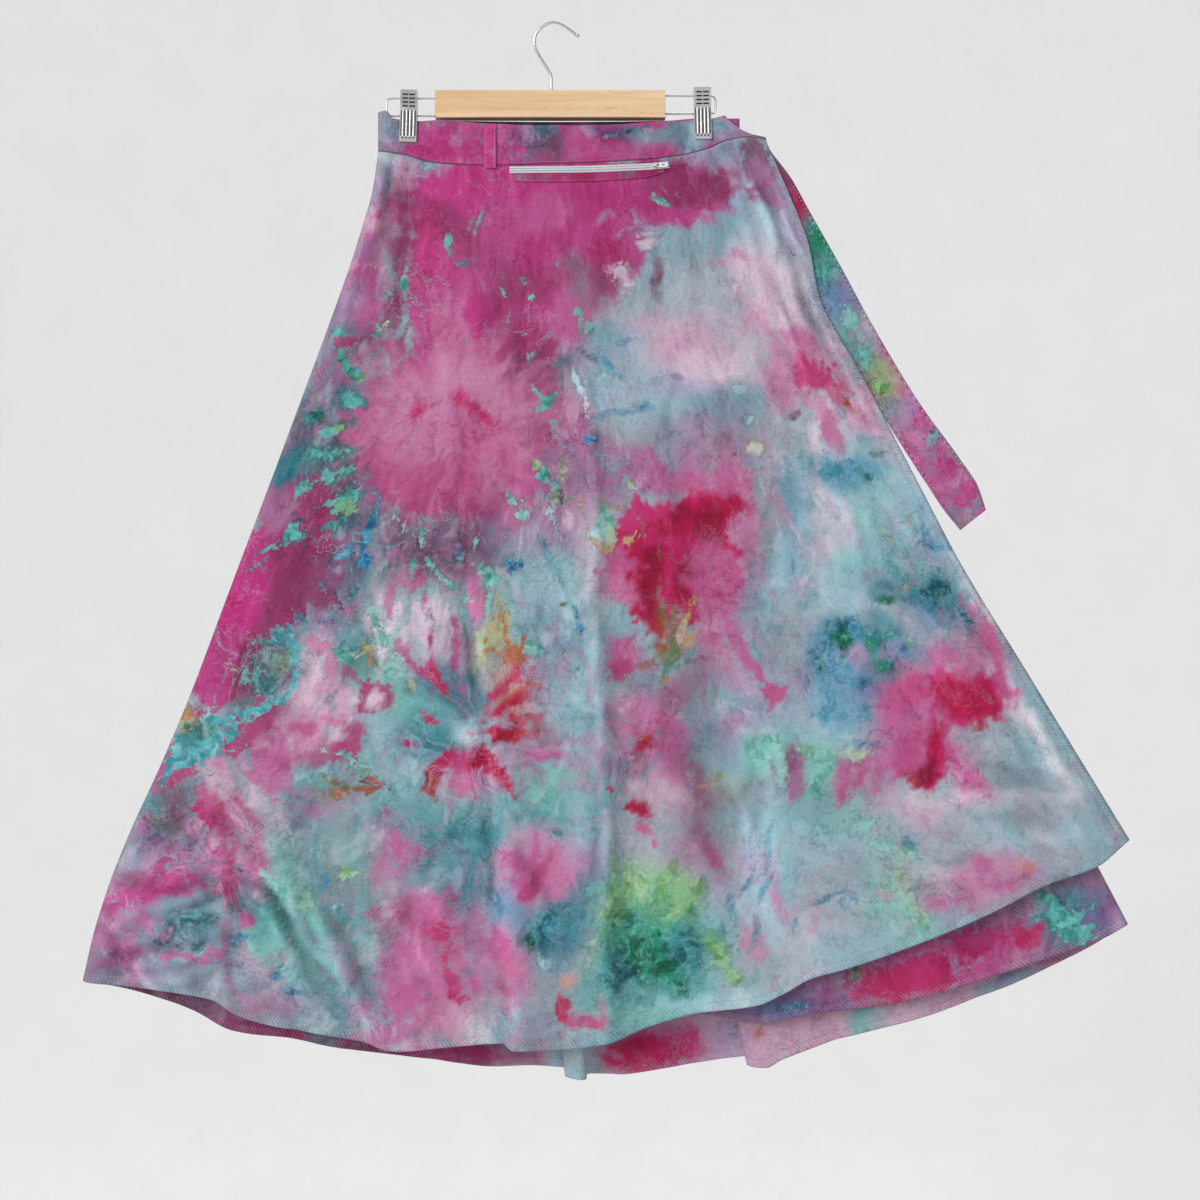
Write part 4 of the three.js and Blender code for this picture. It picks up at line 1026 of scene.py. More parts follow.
frontStains = rowsOf("""
# the large fuchsia ground
505 212 108 62 0 fuchsia 1 34 1 .08
478 300 84 84 0 fuchsia 1 34 1 .1
540 262 74 80 20 deep .25 40 .95 .1
456 428 103 98 0 fuchsia 1 40 1 .1
645 192 94 32 4 fuchsia 1 26 1 .1
615 245 30 30 0 fuchsia .9 26 1 .15
605 275 16 30 0 deep .6 24 .95 .2
500 185 60 20 0 bright .6 34 1
640 178 60 14 2 bright .5 30 1
600 205 40 14 0 deep .6 26 1 .2
690 185 40 18 10 wine .7 26 1 .2
716 192 20 12 0 wine .8 20 .95 .2
757 162 17 26 -24 dark .8 20 .95
772 190 16 24 -24 clay .9 20 .9 .2
752 200 10 12 0 wine .6 18 .85 .2
657 274 9 24 0 plum .8 18 .95
545 218 26 18 0 rose .6 30 1
425 250 22 40 20 hot .35 34 1 .1
440 225 42 10 34 wine .7 24 1 .2
412 222 10 26 0 deep .6 24 1 .2
395 262 11 76 6 wine .7 24 1 .2
430 320 26 34 0 rose .45 34 1
490 250 26 40 0 rose .3 34 1
470 330 24 30 0 bright .5 30 1 .1
505 340 12 60 0 wine .35 26 1 .2
582 286 26 16 0 wine .5 24 1 .2
520 285 24 12 0 plum .45 24 1 .2
530 345 26 34 0 wine .4 30 1 .2
375 420 14 60 4 wine .65 26 1 .2
540 400 22 44 0 plum .7 28 .95 .3
505 470 40 30 0 rose .5 34 .9 .3
420 500 44 20 0 deep .5 30 .95 .4
475 500 26 40 0 plum .55 30 .95 .4
345 340 12 10 0 deep .6 20 .85 .3
390 345 16 12 0 wine .6 22 .9 .3
562 318 20 22 0 rose .85 24 .85 .2
# the bloom
455 430 88 74 0 bloom .5 70 1 .4
445 410 60 50 0 bloom .5 60 1 .4
450 378 44 16 0 bloom .5 30 1 .3
455 418 52 42 0 pale .32 70 1 .5
420 440 30 34 0 pink .4 34 1 .4
455 460 44 26 0 rose .4 34 1 .4
440 482 44 14 0 deep .4 26 1 .3
424 420 9 3 -30 hot .8 9 1 .6
428 412 3 7 10 cherry .5 8 1 .5
463 401 4 8 0 hot .8 9 1 .3
476 414 14 2 44 cherry .75 7 1 .4
486 424 8 2 20 hot .7 7 1 .4
472 440 9 30 6 deep .45 22 1 .2
505 440 18 14 30 hot .35 26 1 .3
# left middle
274 560 44 84 22 fuchsia 1 24 1 .15
295 560 26 56 14 wine .7 28 1 .2
240 600 24 46 22 bright .8 26 1 .1
310 575 30 34 0 wine .8 26 .9 .3
220 672 32 44 24 fuchsia 1 20 1 .15
252 655 9 50 20 plum .8 20 1 .2
320 500 20 10 -20 wine .8 18 .9 .3
270 505 20 22 0 mauve .8 24 .9 .2
178 770 20 24 24 deep .8 20 .9 .2
248 735 48 14 -34 deep .8 18 .95 .3
275 765 20 26 -20 rose .8 20 .85 .3
262 700 10 12 0 deep .7 14 .85 .3
345 735 9 32 16 deep .85 18 .95 .25
320 752 26 8 -14 deep .7 16 .9 .25
328 722 9 8 0 hot .6 14 .85 .4
300 735 14 9 0 deep .6 16 .85 .3
374 695 18 17 30 deep .85 16 .95 .25
374 697 7 8 0 blush .9 9 1 .2
355 672 14 8 30 deep .7 14 .9 .3
330 660 10 22 20 rose .6 18 .8 .3
395 650 9 16 -30 deep .7 14 .85 .3
318 640 14 16 0 pink .6 18 .8 .3
408 578 12 12 0 rose .7 16 .8 .4
428 640 3 48 -6 deep .9 12 .9 .15
460 650 5 50 -10 deep .8 14 .85 .2
418 672 26 7 24 deep .8 14 .9 .3
440 680 20 5 50 cherry .9 12 .95 .3
385 600 8 22 20 rose .7 16 .8 .3
420 590 4 20 0 rose .7 12 .8 .2
478 640 4 40 -6 deep .6 12 .8 .2
477 590 6 22 0 pink .8 12 .85 .2
380 560 20 14 0 clay .6 22 .75 .3
# the flower in the middle
492 640 10 34 14 leaf .8 16 .9 .2
505 636 7 40 -14 gold .55 16 .85 .5
510 664 13 22 -14 orange .7 16 .9 .7
505 690 24 7 -32 cherry .85 12 .9 .3
512 700 26 5 -22 orange .7 10 .9 .3
500 706 18 4 -6 crimson .9 9 .95 .3
525 712 20 5 4 cherry .7 10 .85 .3
508 726 24 8 0 crimson 1 10 1 .25
540 728 22 8 0 rust .6 14 .8 .4
545 748 22 8 0 rose .8 14 .8 .4
580 735 20 9 20 rose .6 18 .75 .4
442 772 8 30 32 cherry .95 12 .95 .3
436 788 9 10 0 rust .9 12 .9 .3
455 752 7 4 0 crimson .9 9 .95
472 770 16 26 0 hot .8 18 .95 .3
472 788 18 12 0 pink .7 18 .9 .3
488 756 10 14 0 crimson 1 12 1 .3
502 774 8 24 -38 crimson .9 12 .95 .3
437 724 9 5 30 cherry .95 9 .95
426 716 12 2 20 cherry .7 8 .85
410 746 12 4 6 deep .9 10 .95 .2
450 806 6 12 0 rose .6 14 .75 .3
360 782 22 8 10 rust .8 14 .85 .4
338 786 12 7 0 olive .7 12 .8 .4
# the crimson bloom
655 560 44 60 -14 cherry .95 22 1 .22
690 555 44 58 16 cherry .95 22 1 .2
720 505 28 20 -10 cherry 1 20 1 .25
640 560 20 34 0 cherry .9 20 1 .25
672 550 38 30 0 crimson .9 26 1 .25
650 585 22 30 -10 crimson .95 20 1 .25
712 530 16 26 10 crimson .95 18 1 .25
722 500 16 10 0 crimson .8 16 1 .3
662 615 20 26 8 cherry .95 20 1 .35
655 578 9 26 8 ruby .8 18 1 .3
711 535 8 18 14 ruby .8 16 1 .3
685 520 16 8 0 ruby .6 16 1 .3
690 575 9 16 10 ruby .6 16 1 .3
678 550 26 4 10 hot .5 14 1 .3
676 590 5 22 20 hot .5 14 1 .3
645 515 26 14 0 hot .7 22 .9 .35
700 480 26 14 0 hot .6 24 .85 .3
735 478 20 16 0 rose .7 24 .85 .3
628 520 14 12 30 hot .6 14 .95 .2
612 568 16 14 10 rose .8 18 .9 .4
620 590 16 8 20 pink .7 14 .85 .3
716 590 16 40 0 rose .8 24 .85 .2
735 640 10 40 -22 rose .7 20 .8 .2
770 690 15 20 -36 hot .75 16 .95 .3
752 668 8 22 -36 rose .8 16 .85 .2
621 655 17 24 8 rose .9 18 .9 .25
622 668 10 10 0 deep .6 14 .9 .3
672 640 10 26 0 olive .8 16 .9 .5
668 652 16 14 0 olive .8 16 .9 .4
660 630 7 14 0 rust .8 12 .9 .3
688 640 8 10 20 gold .7 12 .85 .4
700 658 9 4 0 plum .7 10 .85
650 665 9 6 0 rust .5 12 .8 .3
705 635 10 10 0 rose .7 16 .8 .4
# the panel below it
672 760 18 44 -6 rose .6 28 .85 .2
655 790 26 12 0 shell .5 20 .8 .2
641 748 7 15 26 cherry .9 12 .9 .4
633 738 14 4 30 rust .6 12 .8 .4
637 765 4 10 30 rust .6 10 .8
645 806 19 8 8 rust .9 12 .95 .25
645 806 14 7 8 crimson 1 11 1 .2
617 793 8 6 0 cherry .9 12 .9 .3
646 824 11 8 0 hot .6 14 .85
655 838 4 5 0 hot .8 8 .9
682 836 10 5 10 rose .7 12 .8
700 800 8 44 -4 plum .6 22 .8 .2
715 855 7 24 -30 rose .6 16 .75 .3
# right
752 530 9 66 -2 rose .5 20 .75 .2
812 374 20 18 -20 hot .85 22 .9 .35
838 392 12 22 -30 hot .7 18 .85 .3
793 340 22 8 0 rose .7 18 .8 .3
760 325 14 20 0 pink .6 22 .75 .3
822 420 12 30 -40 pink .7 18 .8 .3
835 442 12 20 -30 rose .6 18 .8 .3
735 258 14 7 0 rose .6 16 .8 .3
970 694 46 28 -6 hot .95 20 1 .22
965 692 34 19 -6 cherry .95 18 1 .25
954 696 10 12 0 crimson .9 14 1 .3
978 698 5 12 0 crimson .9 12 1 .3
995 700 10 12 0 crimson .7 14 1 .3
928 750 28 36 10 hot .95 18 1 .22
932 752 20 32 10 cherry .95 16 1 .3
934 735 8 9 0 crimson 1 12 1 .3
930 763 7 11 0 ruby .9 12 1 .3
915 738 5 6 0 crimson .8 10 .95
905 740 18 50 16 rose .8 22 .9 .3
905 690 26 14 -20 hot .7 20 .9 .3
885 715 12 30 10 rose .7 18 .85 .3
960 760 8 34 -20 rose .7 16 .85 .2
980 782 10 24 -44 rose .7 16 .85 .3
985 722 16 4 -20 rust .6 10 .85
917 778 8 4 30 rust .8 9 .9
796 772 14 22 -14 clay .9 14 .95 .25
788 760 10 10 0 wine .6 12 .95 .3
846 776 9 24 16 rose .8 14 .9 .3
862 780 20 7 -40 deep .6 12 .85 .3
870 760 14 12 -20 rose .7 16 .85 .3
1005 680 8 26 -34 rose .7 16 .85 .2
985 642 8 26 -34 hot .6 16 .85 .2
972 615 5 26 -34 rose .6 12 .8
950 655 26 14 -10 rose .6 20 .8 .3
968 808 8 4 0 rose .7 10 .8
820 840 5 8 0 rose .5 10 .7
# lower left
212 812 16 26 -8 hot .7 20 .85 .4
222 850 10 44 -26 rose .8 18 .85 .3
250 820 8 40 -14 deep .6 16 .85 .4
262 860 12 20 -20 rose .7 18 .8 .4
200 820 6 14 0 deep .7 12 .85 .3
130 905 44 14 -14 fuchsia .8 18 .9 .35
180 884 40 12 6 fuchsia .75 18 .85 .4
165 870 8 22 20 deep .5 14 .8 .4
235 895 10 24 -20 deep .6 16 .8 .4
245 918 9 9 0 rose .8 12 .85 .3
150 925 20 10 0 rose .6 16 .8 .3
190 957 24 9 0 rose .8 16 .85 .3
130 955 22 9 0 rose .7 16 .8 .3
215 935 9 14 0 wine .5 14 .75 .3
160 785 14 20 24 rose .6 18 .8 .3
140 830 10 24 24 rose .5 18 .75 .2
452 965 9 36 -14 hot .75 18 .85 .5
435 925 20 12 0 hot .5 20 .8 .5
468 1004 16 4 6 cherry .8 10 .9 .3
405 975 26 34 0 rose .6 26 .8 .4
395 1005 26 14 0 rose .6 20 .8 .4
392 848 13 24 0 rose .8 18 .85 .4
410 845 12 12 0 rose .7 16 .8 .4
385 810 12 6 0 deep .4 12 .75 .4
310 815 12 14 0 rose .5 16 .75 .4
430 900 34 14 0 rose .7 20 .85 .5
482 930 10 40 0 clay .7 20 .85 .3
360 1010 26 10 20 mauve .6 18 .75 .3
375 908 12 12 0 rose .6 14 .75 .4
345 950 12 20 0 pink .4 18 .7 .4
# lower middle
540 868 26 26 0 rose .8 20 .9 .4
533 882 5 22 30 deep .7 10 .85 .2
560 868 14 18 0 pink .8 16 .9 .4
513 850 12 8 0 rose .7 14 .85 .4
505 945 14 20 0 rose .9 16 .95 .3
520 975 14 26 -14 hot .25 18 .9 .5
520 1000 10 8 0 rose .7 14 .85
560 1008 9 9 0 crimson .9 12 .95 .3
585 1020 22 6 10 hot .85 12 .95 .3
600 1005 9 14 0 hot .6 14 .85 .3
565 985 8 10 0 peach .7 12 .85 .3
1010 890 34 7 -14 rose .8 14 .85 .4
1030 875 14 9 0 peach .6 12 .8 .3
985 872 12 14 0 rose .6 16 .75 .4
720 865 9 26 -24 rose .6 16 .75 .4
780 890 7 34 -14 pink .7 16 .8 .3
812 912 7 20 0 rose .5 14 .75 .3
755 945 14 24 0 pink .6 18 .75 .4
940 905 20 12 -20 rose .5 18 .75 .4
890 900 14 8 0 pink .5 14 .7 .4
""")
frontFlecks = rowsOf("""
# upper left
450 240 5 6 30 turquoise .9 6 1 .3
453 249 3 8 -10 turquoise .9 6 1 .2
479 222 2 10 8 turquoise .9 6 .95 .2
470 224 2 7 20 jade .8 5 .9 .2
403 262 2 12 12 turquoise .9 6 .95 .2
402 280 5 7 0 turquoise .9 7 1 .4
406 286 5 4 0 turquoise .9 6 1 .3
390 296 6 3 30 turquoise .9 6 .95 .4
394 302 2 5 -20 turquoise .8 5 .95
502 289 2 5 -20 turquoise .9 5 .95
522 282 4 2 0 turquoise .9 5 .95
526 293 5 3 30 turquoise .8 5 .95 .4
468 260 8 3 -10 sea .8 6 .9 .5
560 268 2 8 30 sea .6 5 .85
335 333 9 5 10 turquoise .9 7 .95 .5
374 333 7 3 -40 jade .9 6 .95 .4
386 327 6 2 -20 leaf .8 5 .9 .3
338 355 4 11 -30 turquoise .9 7 1 .3
347 367 5 12 -34 jade .9 7 1 .3
358 375 6 9 -34 turquoise .9 7 1 .3
372 358 8 2 -12 lime .8 5 .9 .3
352 403 13 7 30 turquoise .95 8 1 .3
362 380 4 5 0 lime .7 6 .9
330 428 8 10 20 turquoise .9 8 .95 .5
337 424 4 6 0 lime .9 6 .95 .4
318 412 12 6 -20 jade .8 9 .9 .5
322 455 16 8 0 turquoise .8 10 .9 .4
350 452 9 4 0 turquoise .7 8 .85 .5
330 478 9 9 0 turquoise .9 9 .95 .4
348 473 9 6 -10 turquoise .9 8 .95 .5
305 485 9 12 30 turquoise .7 10 .85 .5
350 497 20 6 -14 turquoise .9 9 .95 .5
347 508 10 8 0 lime .6 9 .85 .5
535 389 6 3 30 turquoise .9 6 1 .3
546 398 8 4 44 turquoise .95 6 1 .3
546 407 12 4 -36 turquoise .95 6 1 .3
555 394 9 4 -30 turquoise .9 6 1 .3
532 462 6 5 0 leaf .8 7 .95 .5
542 473 9 10 0 turquoise .9 8 .95 .5
553 486 9 6 20 sea .8 7 .9 .5
565 470 6 9 -20 leaf .6 8 .85 .5
513 497 6 7 0 mint .9 7 .95 .5
522 512 6 6 30 mint .9 7 .95 .5
560 500 14 9 0 olive .6 10 .8 .5
585 316 3 14 0 sea .9 7 .9 .5
580 308 7 4 0 turquoise .8 6 .9 .4
592 325 5 6 0 turquoise .7 7 .85 .5
536 355 3 8 20 sea .6 6 .8 .3
560 355 8 3 -30 sea .7 6 .85 .4
463 338 3 4 0 mint .7 5 .85
# upper right
660 203 10 3 34 mint .95 5 1
655 199 5 3 20 mint .95 5 1
645 228 20 3 0 lilac .9 7 .95
648 236 18 3 0 rose .7 6 .9
650 244 14 6 0 shell .9 8 .95
645 233 20 1 0 white .9 3 1
625 272 14 10 20 shell .8 12 .85 .3
630 284 10 8 0 shell .8 10 .85 .3
612 268 5 10 -20 pink .8 9 .85 .3
752 448 8 12 20 leaf .9 6 1 .1
752 450 4 8 20 shell .7 6 .9
577 372 4 14 -22 ice .9 6 .95 .2
582 384 6 5 0 ice .9 6 .95 .4
586 396 3 12 -20 white .8 6 .9
605 366 3 26 -48 azure .8 9 .9
588 350 3 12 -50 azure .6 8 .85
620 415 30 3 -6 sky .9 8 .9
645 408 9 4 20 azure .6 8 .85
592 437 10 7 0 azure .8 10 .9
625 340 12 3 -10 azure .7 8 .85
655 385 8 5 0 steel .7 9 .8
678 383 7 4 0 violet .4 8 .75
790 414 7 6 0 clay .6 7 .85
745 418 6 8 0 ice .6 8 .8
742 384 8 6 0 ice .7 9 .8
840 405 4 8 -30 orange .7 7 .9
850 415 3 8 -30 orange .5 7 .8
878 455 9 6 0 olive .5 10 .75 .4
730 458 18 1 -4 smoke .9 5 .85
712 460 8 2 10 smoke .7 5 .8
# left middle
290 525 8 10 20 turquoise .9 8 .95 .5
298 533 7 7 0 turquoise .95 7 1 .4
287 538 8 4 0 turquoise .9 7 1 .4
308 535 2 9 -10 ink .9 5 .95
300 513 12 2 34 ink .6 5 .85
272 549 12 4 -24 turquoise .8 8 .9 .6
262 566 12 3 -36 sea .8 7 .85 .5
250 574 9 2 -10 sea .8 6 .85 .4
330 524 14 4 -14 turquoise .8 8 .9 .6
348 549 14 5 -14 azure .95 8 .95 .2
372 535 6 22 14 azure .9 9 .95 .2
370 558 8 8 0 azure .95 7 .95 .2
378 515 3 18 14 azure .8 8 .9 .2
333 565 3 14 -14 ink .9 7 .9
342 600 3 16 -20 ink .9 6 .95
326 583 5 8 0 ink .5 9 .8
322 622 12 3 10 ink .6 7 .85
350 625 4 8 0 ink .4 8 .75
300 618 7 6 0 sky .8 8 .85
400 520 4 7 -20 mint .8 6 .9 .4
408 530 3 6 0 mint .8 6 .9 .4
428 542 4 8 10 mint .9 6 .95 .4
472 540 3 9 0 mint .8 6 .9 .5
416 572 5 9 10 turquoise .9 6 .95 .5
432 570 3 8 -20 turquoise .8 6 .9 .5
445 585 12 3 34 mint .8 7 .9 .5
460 598 8 4 10 mint .8 7 .9 .4
490 580 8 9 -20 turquoise .9 8 .95 .5
475 570 6 5 0 mint .8 7 .9 .5
462 620 3 22 -14 mint .9 7 .95 .3
485 605 5 20 6 mint .9 8 .95 .2
470 645 2 14 -20 mint .9 5 .95
515 565 12 8 0 azure .85 9 .95 .4
498 552 3 10 10 sky .7 8 .85
454 552 4 16 0 azure .5 9 .8
550 553 4 10 -20 azure .6 9 .8
552 515 4 14 -20 ice .8 8 .85 .3
566 584 3 3 0 olive 1 4 .95
564 610 4 4 0 olive 1 4 1
564 610 2 2 0 forest .6 3 1
578 622 3 16 -14 azure .8 7 .9
577 636 4 6 0 azure .6 8 .85
576 676 3 8 0 azure .5 8 .8
540 650 8 5 30 turquoise .8 7 .9 .5
532 648 6 5 0 mint .8 7 .9 .5
# the two fringed islands at the left side
290 655 6 20 4 aqua .95 8 1 .5
294 680 5 14 8 aqua .95 8 1 .5
278 640 12 6 -20 aqua .8 9 .9 .6
275 665 12 14 20 olive .7 14 .8 .4
262 688 12 12 20 sea .8 12 .85 .5
278 700 14 6 -30 aqua .9 8 .95 .6
258 712 12 5 -40 aqua .9 7 .95 .7
250 675 6 16 20 sea .8 10 .85 .5
285 682 5 7 0 mauve .9 8 .95 .4
238 716 8 6 -30 aqua .9 7 .95 .6
205 738 24 12 -20 sea .9 12 .95 .5
190 722 10 12 10 gold .7 11 .9 .4
185 712 5 7 20 gold .8 8 .9 .4
208 735 16 7 10 olive .6 10 .9 .4
200 752 30 7 -14 aqua .95 8 .95 .6
180 745 12 8 -30 aqua .9 8 .95 .5
165 765 4 16 24 aqua .95 7 1 .4
222 725 18 5 -30 aqua .9 7 .95 .7
232 738 10 4 -20 aqua .8 7 .9 .7
200 715 8 6 0 deep .7 8 .85 .4
228 665 14 2 40 leaf .9 5 .9 .2
240 678 3 12 8 sea .9 6 .95
242 659 6 1 -10 sea .8 4 .85
375 655 6 9 0 orange .7 9 .85 .4
368 645 8 6 0 gold .6 9 .8 .4
345 650 12 8 0 mint .7 10 .85 .4
378 620 5 18 -10 mint .8 10 .85 .4
360 590 6 9 0 sea .7 9 .85 .5
385 640 6 14 -30 mint .8 9 .85 .4
395 670 10 16 -40 mint .7 12 .85 .3
410 690 8 8 0 gold .4 10 .75 .3
365 765 12 3 -10 gold .7 8 .85 .4
372 780 12 5 20 rust .9 8 .9 .4
345 758 26 4 14 mint .7 9 .85 .4
340 792 8 4 0 orange .7 8 .85 .4
324 782 8 5 0 olive .8 8 .85 .4
# middle
606 520 9 16 0 mint .95 8 1 .3
598 535 7 12 10 ice .9 8 1 .3
612 535 8 14 0 leaf .7 10 .95 .3
603 548 12 5 20 gold .8 7 .95 .4
585 508 2 14 -20 gold .7 5 .9 .2
620 504 12 2 14 gold .8 5 .9 .3
632 538 8 6 0 gold .8 7 .95 .6
640 515 8 2 50 gold .8 5 .9 .4
635 488 7 3 40 leaf .9 5 .95 .3
620 560 10 2 30 gold .7 5 .85 .4
692 602 3 9 40 peach .8 6 .9 .3
685 622 3 12 10 gold .9 6 .95 .4
680 640 5 10 0 peach .7 8 .85 .5
675 662 14 3 -10 sea .9 6 .95 .5
660 668 8 3 0 sea .8 6 .9 .4
668 676 6 5 0 gold .6 7 .85 .5
690 652 8 2 -40 mint .9 5 .95 .4
622 671 4 3 0 gold .7 5 .85 .4
628 642 2 9 30 orange .6 5 .8
455 565 8 3 0 mint .5 8 .75 .5
768 748 14 10 0 mint .9 12 .95 .4
775 765 8 20 -10 mint .8 12 .9 .3
755 742 14 5 10 mint .8 8 .9 .4
720 778 16 2 -22 gold .8 5 .9 .2
700 788 8 5 -20 peach .7 8 .8 .2
# right
828 466 5 8 0 azure .8 9 .9 .5
838 476 12 6 10 petrol .85 10 .95 .5
852 466 9 3 0 azure .7 8 .85 .4
870 481 7 5 0 emerald .8 8 .95 .4
860 474 8 3 20 petrol .7 7 .85 .4
910 515 9 2 -50 gold .8 6 .9 .4
905 524 9 2 10 gold .7 6 .85 .4
890 542 8 2 10 gold .7 6 .85 .3
938 545 16 5 10 azure .9 9 .9 .3
926 530 4 12 -30 sky .8 9 .85 .3
888 596 9 4 0 emerald .95 7 1 .4
918 596 20 7 6 petrol .7 12 .9 .4
940 590 12 16 0 petrol .7 12 .9 .3
925 606 14 3 20 ink .6 8 .85 .3
908 586 4 3 0 gold .6 6 .85
842 632 16 14 0 petrol .9 12 .95 .5
846 640 9 8 0 emerald 1 9 1 .4
846 645 4 4 0 forest .8 5 1
875 640 10 14 10 petrol .8 11 .95 .5
873 645 5 9 10 emerald 1 8 1 .4
895 630 7 4 -20 emerald .9 7 .95 .4
858 628 6 10 -30 azure .6 9 .85 .4
822 660 6 12 -20 jade .8 9 .9 .4
815 645 4 14 -30 sky .7 9 .85 .3
885 668 10 9 -20 petrol .8 10 .95 .5
884 672 6 6 0 emerald .9 8 1 .4
866 684 6 5 0 emerald .95 7 1 .4
855 678 16 3 10 azure .8 8 .9 .3
838 662 4 10 -20 azure .5 9 .8 .3
905 650 8 8 30 azure .6 9 .85 .5
827 708 5 4 0 emerald .8 7 .95 .3
832 708 10 8 0 azure .6 10 .85 .5
862 712 7 8 0 petrol .7 9 .9 .4
845 714 5 4 0 petrol .6 7 .85 .3
860 742 12 5 10 azure .6 9 .85 .4
808 680 3 7 0 violet .8 8 .85
912 638 5 9 -20 leaf .7 8 .85 .4
968 620 4 16 -40 petrol .85 8 .9 .2
908 705 12 2 34 dark .8 6 .85
918 715 8 2 34 dark .6 6 .8
855 755 12 8 -10 leaf .6 10 .85 .4
818 778 9 18 8 mint .95 9 1 .4
815 755 22 5 0 mint .8 9 .9 .4
835 765 6 14 10 mint .7 9 .85 .4
805 750 20 3 0 leaf .6 8 .85 .3
# lower
190 915 26 8 -14 sea .8 12 .9 .6
175 932 20 8 0 steel .7 12 .85 .6
200 945 8 12 0 sea .7 12 .8 .5
165 928 5 8 0 wine .7 8 .85 .5
242 940 10 4 10 azure .8 8 .9 .4
215 957 5 3 0 azure .6 7 .85
110 945 5 3 0 azure .5 7 .8
322 880 7 10 20 azure .85 9 .95 .4
333 912 12 6 8 azure .9 9 .95 .4
334 912 4 3 0 ice .9 5 1
332 893 8 4 40 azure .5 8 .85 .4
316 845 3 10 0 azure .5 8 .8 .3
280 978 7 8 0 azure .7 9 .9 .4
295 995 8 5 0 azure .6 9 .85 .4
240 870 10 5 30 teal .6 8 .85 .5
275 885 30 4 56 mint .7 8 .85 .3
290 835 4 20 -10 mint .8 9 .9 .4
350 870 10 7 20 leaf .8 9 .9 .4
345 905 14 3 -20 mint .7 7 .85 .4
300 900 9 24 -24 leaf .4 14 .75 .4
486 870 3 34 0 petrol .7 9 .9 .2
497 905 4 14 -20 azure .8 9 .9 .3
540 936 20 14 -20 petrol .7 16 .9 .3
532 945 6 9 0 emerald .7 8 1 .3
531 942 3 7 0 forest 1 5 1
548 918 16 10 -30 teal .8 12 .9 .4
575 908 12 8 0 petrol .5 12 .85 .5
590 890 8 10 0 turquoise .5 12 .8 .4
555 840 8 7 0 sea .7 8 .85 .5
612 895 8 36 6 lime .7 14 .9 .3
627 885 5 26 16 lime .9 9 .95 .3
642 892 5 24 -10 leaf .8 9 .95 .3
660 888 6 34 26 lime .9 10 .95 .3
676 893 6 30 16 lime .7 10 .9 .3
694 892 16 12 -20 lime .6 14 .85 .4
680 912 20 12 -14 lime .9 14 .95 .4
625 920 18 14 0 lime .6 16 .9 .5
650 935 44 18 0 jade .8 20 .95 .5
637 916 6 8 0 petrol .6 9 .9 .4
645 960 46 30 0 jade .7 26 .95 .3
652 955 26 18 0 emerald .75 20 1 .4
672 975 24 12 20 emerald .6 18 .95 .4
634 965 6 6 0 forest .8 8 1 .3
652 956 6 6 0 forest .8 8 1 .4
680 991 8 6 0 forest 1 8 1 .3
680 991 14 10 0 emerald .6 12 .95 .3
615 975 14 20 20 teal .7 18 .9 .4
692 955 14 34 0 teal .7 18 .9 .3
716 950 10 24 -20 lime .9 12 .95 .3
728 975 10 14 -20 lime .8 12 .9 .4
722 925 3 9 0 petrol .8 7 .9 .3
750 882 3 14 30 azure .9 6 .9
765 890 3 12 30 azure .9 6 .9
770 850 3 22 8 sky .9 8 .9
752 850 4 16 10 sky .5 9 .8
735 905 5 12 0 sky .8 9 .85
752 928 4 16 10 sky .8 8 .85
790 922 4 6 0 azure .8 6 .9 .4
820 902 12 3 -14 azure .8 6 .9
845 896 12 3 -10 azure .8 6 .9
855 900 8 3 40 sky .8 6 .9
846 907 6 4 0 sky .6 8 .85
908 850 4 7 0 azure .9 7 .9
908 850 10 12 0 sky .4 12 .8
865 825 10 8 0 mint .8 10 .85 .5
885 845 26 6 24 mint .8 10 .9 .4
822 835 10 10 0 mint .5 12 .8 .5
905 890 12 30 -20 mint .6 16 .85 .4
922 915 8 14 -20 leaf .5 12 .8 .4
905 870 5 16 0 gold .3 12 .75 .4
590 950 6 24 20 leaf .5 14 .8 .3
545 960 8 6 0 ice .8 8 .85 .4
620 1000 26 6 -6 aqua .5 14 .8 .3
560 965 10 8 0 steel .6 12 .8 .4
""")
bandWashes = rowsOf("""
388 132 16 30 0 steel .7
392 150 12 12 0 lilac .7
440 122 40 8 2 mauve .5
415 140 24 10 4 lilac .4
470 140 20 26 0 deep .5
510 130 14 14 0 pink .5
528 140 12 26 0 violet .6
550 145 18 30 0 slate .8
548 128 14 8 0 petrol .4
575 130 14 12 0 rose .6
605 128 20 8 -6 violet .5
632 132 26 8 -8 teal .6
660 136 34 12 -6 steel .8
690 130 30 18 -6 steel .9
715 133 24 16 0 mist .8
700 145 26 9 -10 sky .4
735 140 14 14 0 lilac .6
757 140 15 14 20 mauve .8
500 155 120 7 3 bright .4
620 153 40 8 -3 rose .6
""")
bandStains = rowsOf("""
435 138 26 12 2 bright .6 22 .8 .2
450 150 60 8 4 deep .6 16 .85 .2
510 150 20 8 0 bright .6 16 .8 .3
578 145 14 16 0 rose .6 18 .8 .3
545 132 6 12 0 ink .5 14 .8 .3
556 150 7 10 0 dark .6 14 .8 .3
595 150 20 7 0 fuchsia .5 14 .75 .3
730 150 12 5 0 plum .7 12 .85
""")
bandFlecks = rowsOf("""
540 135 3 7 20 azure .5 10 .7
526 146 3 7 0 steel .5 10 .75
612 134 12 3 -8 ink .5 8 .8
640 128 16 3 -8 teal .6 8 .85
548 137 3 3 0 olive .6 6 .8
""")
